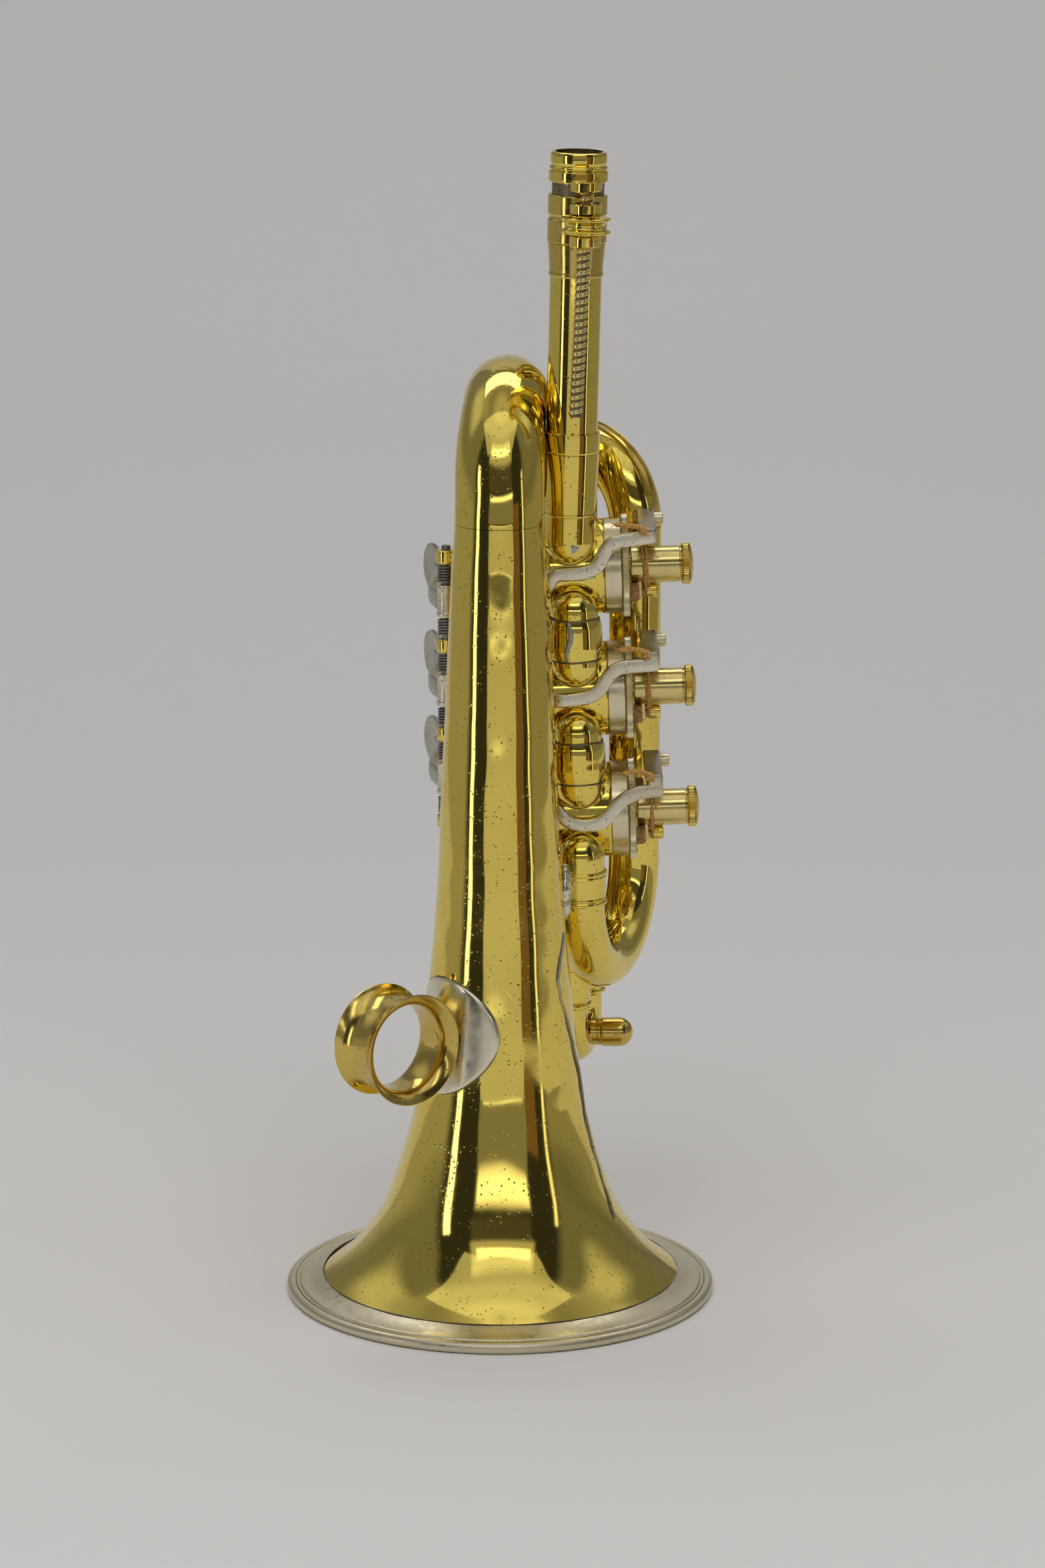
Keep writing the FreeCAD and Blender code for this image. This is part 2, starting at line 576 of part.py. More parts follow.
def make_slides():
    for n in (1, 3):
        front, back, way, leg_end, bow_z = SLIDE_LEGS[n]
        legs = [slide_leg(n, x, y, side, leg_end) for x, y, side in (front, back)]
        lip = 1.5 * way.z
        for x, y, _ in (front, back):
            legs.append(pipe(V(x, y, leg_end), V(x, y, leg_end + lip), SLIDE_R + 0.4, SLIDE_R - SLIDE_WALL))
        save("slide_legs_%d" % n, *legs)
        tops = [V(x, y, bow_z) for x, y, _ in (front, back)]
        starts = [V(x, y, leg_end - 34.0 * way.z) for x, y, _ in (front, back)]
        crook = slide_crook(starts[0], starts[1], tops[0], tops[1], way)
        save("slide_bow_%d" % n, crook)

    # the second slide is short and runs straight back
    legs, starts, tops = [], [], []
    for side in (1, -1):
        root = spot(2, 0, 0, side * PORT_RISE)
        end = V(root.x, 56.0, root.z)
        leg = pipe(root, end, SLIDE_R, SLIDE_R - SLIDE_WALL)
        centre = rotor_centre(2)
        legs.append(only(leg.cut(rod(centre - ALONG * 20, centre + ALONG * 20, CASING_R))))
        legs.append(pipe(end, end + BACK * 1.5, SLIDE_R + 0.4, SLIDE_R - SLIDE_WALL))
        starts.append(V(root.x, 44.0, root.z))
        tops.append(V(root.x, 60.5, root.z))
    save("slide_legs_2", *legs)
    save("slide_bow_2", slide_crook(starts[0], starts[1], tops[0], tops[1], BACK))

    # pull knob on the third slide
    front, back = SLIDE_LEGS[3][0], SLIDE_LEGS[3][1]
    mid = V((front[0] + back[0]) / 2, (front[1] + back[1]) / 2, 57.9)
    knob = [(0, 4.2), (3.7, 4.2), (3.7, 6.4), (4.2, 7.2), (4.25, 12.8), (3.6, 15.0), (1.8, 16.2), (0, 16.4)]
    knob = turn(knob, mid, V(1, 0, 0), ((4, 7),))
    r = SLIDE_R - SLIDE_WALL - SLIDE_GAP
    tops = [V(x, y, SLIDE_LEGS[3][4]) for x, y, _ in (front, back)]
    save("slide_knob", only(knob.cut(half_body(tops[0], tops[1], DOWN, r, r))))


# ---------------------------------------------------------------- keys
# centre line of each lever arm: distance along the valve axis and up the row
ARM_LINES = {
    1: ((-6.9, -2.6), (-5.6, -0.1), (-2.6, 0.7), (2.6, 0.8), (6.6, 2.6), (8.7, 6.0), (11.2, 8.9), (15.8, 9.8),
        (23.4, 10.8)),
    2: ((-6.4, -0.1), (0.2, 0.1), (3.9, 0.8), (6.9, 3.1), (8.8, 6.0), (11.5, 8.3), (16.0, 9.0), (23.6, 9.4)),
    3: ((-6.6, 3.4), (-3.4, 0.2), (1.2, -1.3), (5.6, -0.5), (9.3, 2.8), (12.6, 6.0), (16.6, 7.7), (23.2, 8.2)),
}
# how each arm steps from behind the bell to the front of its casing: its Y behind
# the bell, then Y and the share of its fall at two steps, then Y over the casing
ARM_STEPS = {
    1: (20.9, 18.7, 0.6, 17.3, 0.8, 15.0),
    2: (20.9, 18.7, 0.6, 17.3, 0.8, 15.0),
    3: (21.3, 19.4, 0.75, 18.2, 0.91, 15.45),
}
BRACKET_TOP = 13.0
BRACKET_BACK = 31.5


def make_key(n):
    z = KEY_Z[n - 1]
    pivot = V(ROD.x, ROD.y, z)
    hub = pipe(pivot - UP * 4.6, pivot + UP * 4.6, 2.7, ROD_R + 0.05)

    line = [spot(n, u, ARM_FRONT - VALVE_MID.y, w) for u, w in ARM_LINES[n]]
    drop = line[0].z - z
    edge = rotor_centre(n).x - CASING_REAR
    y_behind, y_step, fall_step, y_edge, fall_edge, line[0].y = ARM_STEPS[n]
    lead_in = [V(ROD.x + 2.2, ROD.y + 0.2, z), V(-4.0, ROD.y + 0.5, z), V(edge - 8.5, y_behind, z + 0.3 * fall_edge * drop)]
    lead_in.append(V(edge - 3.7, y_step, z + fall_step * drop))
    lead_in.append(V(edge - 1.7, y_edge, z + fall_edge * drop))
    arm = bar(lead_in + line, BACK, ARM_H, ARM_T)

    bracket = Part.makeBox(5.0, BRACKET_BACK, 1.8)
    bracket.Placement = FreeCAD.Placement(spot(n, 18.4, ARM_FRONT - ARM_T / 2 - VALVE_MID.y, BRACKET_TOP - 1.8), LEAN)
    end_w = ARM_LINES[n][-1][1]
    corner = Part.makeBox(5.0, 2.6, BRACKET_TOP - end_w + 1.6)
    corner.Placement = FreeCAD.Placement(spot(n, 18.4, ARM_FRONT - ARM_T / 2 - VALVE_MID.y, end_w - 1.6), LEAN)
    tab = Part.makeBox(1.8, 5.0, 5.4)
    back_y = ARM_FRONT - ARM_T / 2 + BRACKET_BACK - 5.0 - VALVE_MID.y
    tab.Placement = FreeCAD.Placement(spot(n, 21.6, back_y, BRACKET_TOP - 5.4), LEAN)

    shank = bar([V(ROD.x - 1.8, ROD.y + 0.8, z), V(-18.6, 27.0, z), V(-18.6, 42.0, z), V(-17.2, 60.0, z)],
                V(1, 0, 0), 6.0, 1.8)
    plate = Part.makeCylinder(7.3, 1.8, V(0, 0, -0.9))
    stretch = FreeCAD.Matrix()
    stretch.scale(1.5, 1.0, 1.0)
    plate = plate.transformGeometry(stretch)
    long_way = unit(V(-0.27, 0.96, 0))
    face_way = long_way.cross(UP)
    plate.Placement = FreeCAD.Placement(V(-18.7, 68.0, z), FreeCAD.Rotation(long_way, UP, face_way, "XYZ"))
    body = hub.fuse(arm).fuse(bracket).fuse(corner).fuse(tab).fuse(shank).fuse(plate)
    body = body.cut(rod(pivot - UP * 10, pivot + UP * 10, ROD_R + 0.05))

    pin = spot(n, 23.4, back_y + 2.5, BRACKET_TOP - 2.6)
    head = rod(pin, pin + ALONG * 2.6, 1.9)
    save("key_%d" % n, only(body), head)

    ends = []
    knot = spot(n, 20.9, ARM_FRONT + 3.6 - VALVE_MID.y, BRACKET_TOP - 1.8 - 0.65)
    ends.append(rod(knot, spot(n, 20.9, 0, HUB_R + 0.75), 0.5))
    rear = spot(n, 20.0, back_y + 1.0, BRACKET_TOP - 1.8 - 0.65)
    ends.append(rod(rear, spot(n, 20.0 - 0.6, 0.3, HUB_R + 0.75), 0.5))
    save("string_%d" % n, *ends)


def make_key_mount():
    save("hinge_rod", rod(V(ROD.x, ROD.y, 127.0), V(ROD.x, ROD.y, 208.4), ROD_R))
    posts = []
    for z in POST_Z:
        centre = V(ROD.x, ROD.y, z)
        block = rod(centre - UP * 1.9, centre + UP * 1.9, 2.7)
        foot_dir = unit(V(-0.35, 0.94, 0))
        if z > 200:
            foot_dir = unit(V(-0.45, 0.89, 0))
        reach = rod(centre, foot_dir * 11.0 + UP * z, 1.5)
        flange = Part.makeCone(3.4, 1.5, 5.5, foot_dir * 11.5 + UP * z, centre - foot_dir * 11.5 - UP * z)
        post = block.fuse(reach).fuse(flange).cut(bell_core(z, 6.0))
        post = post.cut(rod(centre - UP * 5, centre + UP * 5, ROD_R))
        posts.append(only(post))
    save("key_posts", *posts)

    springs = []
    for n in (1, 2, 3):
        z = KEY_Z[n - 1]
        for low, high in ((z - 4.9 - 5.2, z - 4.9), (z + 4.9, z + 4.9 + 5.2)):
            spring = pipe(V(ROD.x, ROD.y, low), V(ROD.x, ROD.y, high), 2.5, ROD_R + 0.3)
            springs.append(spring)
    save("key_springs", *springs)


os.makedirs("parts", exist_ok=True)
make_bell()
make_finger_ring()
make_wrap()
make_stays()
make_leadpipe()
make_shank()
for number in (1, 2, 3):
    make_casing(number)
    make_rotor(number)
make_valve_fronts()
make_port_tubes()
make_slides()
make_key_mount()
for number in (1, 2, 3):
    make_key(number)
print("nodes:", len([f for f in os.listdir("parts") if f.endswith(".step")]))
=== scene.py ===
"""Looks of a rotary-valve cornet that stands on its bell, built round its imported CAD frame."""
import json
import math

import bmesh
import bpy
import numpy as np
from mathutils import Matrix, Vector, noise


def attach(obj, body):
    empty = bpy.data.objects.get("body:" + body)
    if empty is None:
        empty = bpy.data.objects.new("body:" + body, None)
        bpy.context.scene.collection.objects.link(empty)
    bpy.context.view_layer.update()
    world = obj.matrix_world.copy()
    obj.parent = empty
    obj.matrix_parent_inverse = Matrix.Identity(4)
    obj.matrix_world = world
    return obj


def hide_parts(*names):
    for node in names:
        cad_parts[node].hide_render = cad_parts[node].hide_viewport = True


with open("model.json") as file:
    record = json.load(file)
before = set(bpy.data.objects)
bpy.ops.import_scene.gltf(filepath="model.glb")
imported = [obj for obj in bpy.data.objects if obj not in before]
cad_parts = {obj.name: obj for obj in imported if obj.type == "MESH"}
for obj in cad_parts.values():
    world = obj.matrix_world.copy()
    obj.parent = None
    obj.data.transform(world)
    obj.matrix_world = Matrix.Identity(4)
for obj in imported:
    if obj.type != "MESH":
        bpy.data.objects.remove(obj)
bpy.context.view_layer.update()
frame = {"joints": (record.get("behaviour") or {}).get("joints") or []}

scene = bpy.context.scene
MM = 0.001


# ------------------------------------------------------------------ geometry helpers, in millimetres
def P(*c):
    return np.array(c, float)


def unit(v):
    v = np.asarray(v, float)
    return v / np.linalg.norm(v)


UP, DOWN, BACK = P(0, 0, 1), P(0, 0, -1), P(0, 1, 0)


def square_to(axis, hint=None):
    """Two unit vectors square to an axis; the first is as near to hint as can be."""
    axis = unit(axis)
    hint = (BACK if abs(axis[1]) < 0.9 else P(1, 0, 0)) if hint is None else np.asarray(hint, float)
    first = unit(hint - axis * np.dot(hint, axis))
    return first, np.cross(axis, first)


def spline(points, count, closed=False):
    """Points along a smooth curve through the given ones."""
    pts = np.array(points, float)
    gaps = np.linalg.norm(np.diff(pts, axis=0), axis=1)
    t = np.concatenate([[0], np.cumsum(gaps)])
    n = len(pts)
    h = np.diff(t)
    a = np.zeros((n, n))
    b = np.zeros((n, pts.shape[1]))
    a[0, 0] = a[-1, -1] = 1
    for i in range(1, n - 1):
        a[i, i - 1], a[i, i], a[i, i + 1] = h[i - 1], 2 * (h[i - 1] + h[i]), h[i]
        b[i] = 6 * ((pts[i + 1] - pts[i]) / h[i] - (pts[i] - pts[i - 1]) / h[i - 1])
    m = np.linalg.solve(a, b)
    out = []
    for s in np.linspace(0, t[-1], count):
        i = min(int(np.searchsorted(t, s, "right")) - 1, n - 2)
        u, w = t[i + 1] - s, s - t[i]
        out.append((m[i] * u ** 3 + m[i + 1] * w ** 3) / (6 * h[i]) + (pts[i] / h[i] - m[i] * h[i] / 6) * u
                   + (pts[i + 1] / h[i] - m[i + 1] * h[i] / 6) * w)
    return np.array(out)


def fillet(outline, radius=0.2, steps=3):
    """Round every corner of a closed outline of (radius, height) points."""
    pts = [np.array(p[:2], float) for p in outline]
    out = []
    for i, p in enumerate(pts):
        before, after = pts[i - 1] - p, pts[(i + 1) % len(pts)] - p
        la, lb = np.linalg.norm(before), np.linalg.norm(after)
        if p[0] < 1e-6 or la < 1e-6 or lb < 1e-6 or np.dot(before, after) / (la * lb) < -0.985:
            out.append(tuple(p))
            continue
        cut = min(radius, 0.45 * la, 0.45 * lb)
        start, end = p + before / la * cut, p + after / lb * cut
        for k in range(steps + 1):
            t = k / steps
            out.append(tuple(start * (1 - t) ** 2 + p * 2 * t * (1 - t) + end * t * t))
    return out


def grid(rows, cols, wrap_rows, wrap_cols):
    faces = []
    for i in range(rows if wrap_rows else rows - 1):
        for j in range(cols if wrap_cols else cols - 1):
            k, m = (i + 1) % rows, (j + 1) % cols
            faces.append((i * cols + j, i * cols + m, k * cols + m, k * cols + j))
    return faces


def lathe(outline, origin, axis, turns=96, knurl=None, hint=None):
    """Turn a closed outline about an axis. knurl = (lowest r, highest r, low h, high h, teeth, depth)."""
    x, y = square_to(axis, hint)
    axis = unit(axis)
    if knurl:
        turns = knurl[4] * 6
    angles = np.arange(turns) * 2 * math.pi / turns
    ring = np.outer(np.cos(angles), x) + np.outer(np.sin(angles), y)
    rows = []
    for r, h in outline:
        radii = np.full(turns, float(r))
        if knurl and knurl[0] <= r <= knurl[1] and knurl[2] <= h <= knurl[3]:
            radii -= knurl[5] * (0.5 - 0.5 * np.cos(angles * knurl[4])) ** 0.7
        rows.append(np.asarray(origin) + axis * h + ring * radii[:, None])
    return np.concatenate(rows), grid(len(rows), turns, True, True)


def arc(a, b, rise, count=49):
    """Half a ring from a to b, bulging along rise."""
    mid, half = (a + b) / 2, (b - a) / 2
    top = unit(rise) * np.linalg.norm(half)
    return np.array([mid - half * math.cos(t) + top * math.sin(t) for t in np.linspace(0, math.pi, count)])


def sweep(path, section, hint=None, closed=False):
    """Sweep a closed section along a path. section(i) gives its (across, up) points at path point i."""
    path = np.asarray(path, float)
    n = len(path)
    tangents = np.gradient(path, axis=0)
    first = square_to(tangents[0], hint)[0]
    rows = []
    for i in range(n):
        t = unit(tangents[i])
        side = hint if hint is not None else first
        first = unit(side - t * np.dot(side, t))
        second = np.cross(t, first)
        pts = np.asarray(section(i), float)
        rows.append(path[i] + np.outer(pts[:, 0], first) + np.outer(pts[:, 1], second))
    cols = len(rows[0])
    faces = grid(n, cols, closed, True)
    points = np.concatenate(rows)
    if not closed:
        base = len(points)
        points = np.vstack([points, path[0], path[-1]])
        for j in range(cols):
            k = (j + 1) % cols
            faces.append((base, k, j))
            faces.append((base + 1, (n - 1) * cols + j, (n - 1) * cols + k))
    return points, faces


def circle(radius, sides=48):
    angles = np.arange(sides) * 2 * math.pi / sides
    return np.column_stack([np.cos(angles), np.sin(angles)]) * radius


def tube(path, r0, r1=None, sides=48, hint=None):
    """A round tube whose radius goes evenly from r0 to r1."""
    path = np.asarray(path, float)
    radii = np.linspace(r0, r0 if r1 is None else r1, len(path))
    return sweep(path, lambda i: circle(radii[i], sides), hint)


def line(a, b, count=2):
    return np.array([a + (b - a) * t for t in np.linspace(0, 1, count)])


def soft_bar(width, height, power=2.6, sides=28):
    """A bar's section with rounded edges."""
    out = []
    for k in range(sides):
        t = 2 * math.pi * k / sides
        c, s = math.cos(t), math.sin(t)
        out.append((math.copysign(abs(c) ** (2 / power), c) * width / 2, math.copysign(abs(s) ** (2 / power), s) * height / 2))
    return out


def block(centre, size, axes, bevel=0.3):
    """A box with rounded edges."""
    bm = bmesh.new()
    bmesh.ops.create_cube(bm, size=1)
    for v in bm.verts:
        v.co = Vector([c * s for c, s in zip(v.co, size)])
    bmesh.ops.bevel(bm, geom=list(bm.edges), offset=bevel, segments=3, affect="EDGES", profile=0.5)
    axes = [unit(a) for a in axes]
    points = np.array([centre + sum(axes[k] * v.co[k] for k in range(3)) for v in bm.verts])
    bm.verts.index_update()
    faces = [tuple(v.index for v in f.verts) for f in bm.faces]
    bm.free()
    return points, faces


def rope(path, radius, pitch=2.2, strands=3, sides=8, phase=0.0):
    """A twisted cord: strands laid round a path."""
    path = np.asarray(path, float)
    tangents = np.gradient(path, axis=0)
    walked = np.concatenate([[0], np.cumsum(np.linalg.norm(np.diff(path, axis=0), axis=1))])
    first = square_to(tangents[0])[0]
    lines = [[] for _ in range(strands)]
    for i in range(len(path)):
        t = unit(tangents[i])
        first = unit(first - t * np.dot(first, t))
        second = np.cross(t, first)
        for k in range(strands):
            a = 2 * math.pi * (walked[i] / pitch + k / strands) + phase
            lines[k].append(path[i] + (first * math.cos(a) + second * math.sin(a)) * radius * 0.52)
    return [tube(l, radius * 0.56, sides=sides) for l in lines]


def coil(origin, axis, radius, turns, pitch, count_per_turn=20, start=0.0):
    x, y = square_to(axis)
    out = []
    for i in range(int(turns * count_per_turn) + 1):
        a = 2 * math.pi * i / count_per_turn + start
        out.append(origin + unit(axis) * (pitch * i / count_per_turn) + (x * math.cos(a) + y * math.sin(a)) * radius)
    return np.array(out)


def piece(name, shapes, material, body, replaces=(), dent=None, weighted=True, fade=None):
    """Join shapes into one object that rides on a body. fade = (height, reach): dents die out near that height."""
    if isinstance(shapes, tuple):
        shapes = [shapes]
    bm = bmesh.new()
    for points, faces in shapes:
        verts = [bm.verts.new(Vector(p) * MM) for p in points]
        for f in faces:
            if len(set(f)) > 2:
                bm.faces.new([verts[i] for i in f])
    bmesh.ops.remove_doubles(bm, verts=list(bm.verts), dist=2e-7)
    bmesh.ops.dissolve_degenerate(bm, edges=list(bm.edges), dist=1e-7)
    bmesh.ops.recalc_face_normals(bm, faces=list(bm.faces))
    if dent:
        bm.normal_update()
        moves = []
        for v in bm.verts:
            keep = 1.0 if fade is None else min(1.0, abs(v.co.z / MM - fade[0]) / fade[1])
            deep = sum(depth * noise.noise(v.co / (size * MM) + Vector((size, 0, depth))) for size, depth in dent)
            moves.append(v.normal * deep * MM * keep)
        for v, move in zip(bm.verts, moves):
            v.co += move
    mesh = bpy.data.meshes.new(name)
    bm.to_mesh(mesh)
    bm.free()
    mesh.polygons.foreach_set("use_smooth", [True] * len(mesh.polygons))
    mesh.set_sharp_from_angle(angle=math.radians(38))
    mesh.materials.append(material)
    obj = bpy.data.objects.new(name, mesh)
    scene.collection.objects.link(obj)
    if weighted:
        obj.modifiers.new("normals", "WEIGHTED_NORMAL").keep_sharp = True
    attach(obj, body)
    if replaces:
        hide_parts(*replaces)
    return obj


# ------------------------------------------------------------------ materials
def metal(name, colour, stain, dark, rough, stain_share=0.5, pits=0.6, cloud=26.0, bump=0.06):
    """Old polished metal: clouded tarnish, fine pits, hair scratches and uneven polish."""
    mat = bpy.data.materials.new(name)
    mat.use_nodes = True
    nodes, links = mat.node_tree.nodes, mat.node_tree.links
    shader = nodes["Principled BSDF"]
    shader.inputs["Metallic"].default_value = 1.0
    coord = nodes.new("ShaderNodeTexCoord").outputs["Object"]

    def add(kind, **values):
        node = nodes.new(kind)
        for key, value in values.items():
            if hasattr(node, key):
                setattr(node, key, value)
            else:
                node.inputs[key.replace("_", " ").title()].default_value = value
        return node

    def ramp(source, low, high, low_value=0.0, high_value=1.0):
        node = nodes.new("ShaderNodeMapRange")
        for key, value in zip(("From Min", "From Max", "To Min", "To Max"), (low, high, low_value, high_value)):
            node.inputs[key].default_value = value
        links.new(source, node.inputs["Value"])
        return node.outputs["Result"]

    def times(a, b):
        node = nodes.new("ShaderNodeMath")
        node.operation = "MULTIPLY"
        links.new(a, node.inputs[0])
        if isinstance(b, float):
            node.inputs[1].default_value = b
        else:
            links.new(b, node.inputs[1])
        return node.outputs[0]

    def mix(a, b, factor):
        node = nodes.new("ShaderNodeMix")
        node.data_type = "RGBA"
        for socket, value in ((node.inputs[6], a), (node.inputs[7], b)):
            if isinstance(value, tuple):
                socket.default_value = (*value, 1)
            else:
                links.new(value, socket)
        links.new(factor, node.inputs[0])
        return node.outputs[2]

    clouds = add("ShaderNodeTexNoise", scale=cloud, detail=5.0, roughness=0.62)
    links.new(coord, clouds.inputs["Vector"])
    spots = add("ShaderNodeTexNoise", scale=cloud * 11, detail=3.0, roughness=0.55)
    links.new(coord, spots.inputs["Vector"])
    cells = add("ShaderNodeTexVoronoi", scale=760.0)
    cells.inputs["Randomness"].default_value = 1.0
    links.new(coord, cells.inputs["Vector"])
    stretch = add("ShaderNodeMapping")
    stretch.inputs["Rotation"].default_value = (0.4, 0.9, 0.3)
    stretch.inputs["Scale"].default_value = (60, 900, 60)
    links.new(coord, stretch.inputs["Vector"])
    hairs = add("ShaderNodeTexNoise", scale=1.0, detail=2.0)
    links.new(stretch.outputs["Vector"], hairs.inputs["Vector"])

    tarnish = times(ramp(clouds.outputs["Fac"], 0.42, 0.72), stain_share)
    pit = times(ramp(cells.outputs["Distance"], 0.24, 0.10), ramp(spots.outputs["Fac"], 0.46, 0.56))
    colour_out = mix(mix(colour, stain, tarnish), dark, times(pit, pits))
    links.new(colour_out, shader.inputs["Base Color"])
    hair = ramp(hairs.outputs["Fac"], 0.70, 0.76)
    uneven = ramp(spots.outputs["Fac"], 0.3, 0.7, rough * 0.75, rough * 1.3)
    total = nodes.new("ShaderNodeMath")
    total.operation = "ADD"
    links.new(uneven, total.inputs[0])
    links.new(times(pit, 0.4 * pits), total.inputs[1])
    links.new(total.outputs[0], shader.inputs["Roughness"])
    height = nodes.new("ShaderNodeMath")
    height.operation = "ADD"
    links.new(pit, height.inputs[0])
    links.new(times(hair, 0.5), height.inputs[1])
    bumps = nodes.new("ShaderNodeBump")
    bumps.invert = True
    bumps.inputs["Strength"].default_value = bump
    bumps.inputs["Distance"].default_value = 0.00008
    links.new(height.outputs[0], bumps.inputs["Height"])
    links.new(bumps.outputs["Normal"], shader.inputs["Normal"])
    return mat


def dull(name, colour, other, rough, scale, bump, stretch=(1, 1, 1)):
    """Cork, linen or old solder flux: two colours mixed by noise, with a rough surface."""
    mat = bpy.data.materials.new(name)
    mat.use_nodes = True
    nodes, links = mat.node_tree.nodes, mat.node_tree.links
    shader = nodes["Principled BSDF"]
    shader.inputs["Roughness"].default_value = rough
    coord = nodes.new("ShaderNodeTexCoord")
    mapping = nodes.new("ShaderNodeMapping")
    mapping.inputs["Scale"].default_value = stretch
    links.new(coord.outputs["Object"], mapping.inputs["Vector"])
    grain = nodes.new("ShaderNodeTexNoise")
    grain.inputs["Scale"].default_value = scale
    grain.inputs["Detail"].default_value = 6
    links.new(mapping.outputs["Vector"], grain.inputs["Vector"])
    mix = nodes.new("ShaderNodeMix")
    mix.data_type = "RGBA"
    mix.inputs[6].default_value = (*colour, 1)
    mix.inputs[7].default_value = (*other, 1)
    spread = nodes.new("ShaderNodeMapRange")
    spread.inputs["From Min"].default_value = 0.35
    spread.inputs["From Max"].default_value = 0.65
    links.new(grain.outputs["Fac"], spread.inputs["Value"])
    links.new(spread.outputs["Result"], mix.inputs[0])
    links.new(mix.outputs[2], shader.inputs["Base Color"])
    bumps = nodes.new("ShaderNodeBump")
    bumps.inputs["Strength"].default_value = bump
    bumps.inputs["Distance"].default_value = 0.0002
    links.new(grain.outputs["Fac"], bumps.inputs["Height"])
    links.new(bumps.outputs["Normal"], shader.inputs["Normal"])
    return mat


BRASS = metal("polished_brass", (0.88, 0.69, 0.15), (0.76, 0.56, 0.11), (0.10, 0.05, 0.01), 0.065, 0.6, 0.85, 26.0, 0.22)
AGED = metal("aged_brass", (0.76, 0.57, 0.15), (0.46, 0.31, 0.08), (0.07, 0.04, 0.01), 0.16, 0.7)
WORN = metal("worn_brass", (0.80, 0.65, 0.27), (0.58, 0.43, 0.13), (0.12, 0.07, 0.02), 0.17, 0.7, 0.5)
SILVER = metal("nickel_silver", (0.78, 0.70, 0.48), (0.66, 0.57, 0.34), (0.16, 0.12, 0.07), 0.24, 0.6, 0.22)
TOUCH = metal("handled_silver", (0.50, 0.48, 0.40), (0.36, 0.32, 0.24), (0.12, 0.10, 0.07), 0.30, 0.8, 0.9, 90.0, 0.2)
BRACKET = metal("stained_silver", (0.50, 0.45, 0.33), (0.30, 0.24, 0.15), (0.10, 0.08, 0.05), 0.34, 0.8, 0.9, 90.0, 0.2)
LEVER = metal("lever_silver", (0.80, 0.75, 0.58), (0.60, 0.54, 0.38), (0.14, 0.11, 0.07), 0.32, 0.6, 0.9, 60.0, 0.16)
GARLAND = metal("satin_silver", (0.72, 0.66, 0.48), (0.58, 0.50, 0.30), (0.22, 0.17, 0.09), 0.36, 0.5, 0.12, 40.0, 0.02)
MIRROR = metal("mirror_silver", (0.82, 0.77, 0.60), (0.72, 0.65, 0.44), (0.16, 0.13, 0.08), 0.24, 0.5, 0.15, 26.0, 0.03)
SOLDER = metal("old_solder", (0.46, 0.46, 0.44), (0.22, 0.20, 0.17), (0.06, 0.05, 0.04), 0.42, 0.8, 0.9, 120.0, 0.3)
BRIGHT_SOLDER = metal("bright_solder", (0.74, 0.73, 0.70), (0.45, 0.44, 0.40), (0.10, 0.09, 0.07), 0.16, 0.6, 0.8, 120.0, 0.2)
PATINA = metal("dark_patina", (0.20, 0.17, 0.11), (0.34, 0.27, 0.12), (0.03, 0.02, 0.01), 0.40, 0.8, 0.9, 90.0, 0.3)
STEEL = metal("spring_steel", (0.30, 0.29, 0.28), (0.16, 0.13, 0.11), (0.08, 0.05, 0.03), 0.35, 0.7, 0.8, 100.0, 0.2)
CORK = dull("cork", (0.52, 0.30, 0.10), (0.26, 0.12, 0.035), 0.9, 900, 0.7)
LINEN = dull("waxed_linen", (0.76, 0.46, 0.14), (0.48, 0.24, 0.055), 0.8, 1800, 0.6)

# ------------------------------------------------------------------ places, from the frame
joints = {j["name"]: j for j in frame["joints"]}


def joint_spot(name):
    return np.array(joints[name]["pos_m"], float) / MM


ALONG = unit(joints["rotor_1_turn"]["axis"])          # valve axes
ROW = P(-ALONG[2], 0, ALONG[0])                       # up the row of valves
LEAD_AXIS = unit(joints["tuning_wheel_turn"]["axis"])
ROTORS = {n: joint_spot("rotor_%d_turn" % n) for n in (1, 2, 3)}
HINGES = {n: joint_spot("key_%d_press" % n) for n in (1, 2, 3)}
WHEEL = joint_spot("tuning_wheel_turn")
LEAD_FOOT = P(19.3, 15.5, 216.0)


def lead(z):
    return LEAD_FOOT + LEAD_AXIS * ((z - LEAD_FOOT[2]) / LEAD_AXIS[2])


def screw_at(z):
    return WHEEL + LEAD_AXIS * ((z - WHEEL[2]) / LEAD_AXIS[2])


def spot(n, u, y, w):
    """A point of valve n: u along its axis, y behind it, w up the row."""
    return ROTORS[n] + ALONG * u + BACK * y + ROW * w


PORT_RISE, PORT_SET, PORT_R, CASING_R = 10.1, 14.0, 6.6, 13.3


def port_point(n, side):
    return spot(n, 0, -PORT_SET, side * PORT_RISE)


# ------------------------------------------------------------------ bell
SEAM_R, SEAM_Z, BOW_Z = 49.6, 5.2, 218.4
BELL_CURVE = spline([(SEAM_R, SEAM_Z), (44.5, 8.9), (40.5, 12.9), (37.4, 16.9), (34.0, 22.1), (29.3, 33.3),
                     (25.3, 47.0), (22.3, 65.0), (19.7, 88.0), (17.7, 115.0), (16.1, 146.0), (14.4, 178.0),
                     (13.0, 206.0), (12.35, BOW_Z), (12.05, 232.0)], 200)
BELL_CURVE = np.vstack([BELL_CURVE[BELL_CURVE[:, 1] < BOW_Z - 0.4], [(12.35, BOW_Z)]])
WALL = 0.6


def bell_radius(z):
    return float(np.interp(z, BELL_CURVE[:, 1], BELL_CURVE[:, 0]))


def inner(curve, depth):
    slope = np.gradient(curve, axis=0)
    slope /= np.linalg.norm(slope, axis=1)[:, None]
    return curve + np.column_stack([-slope[:, 1], slope[:, 0]]) * depth


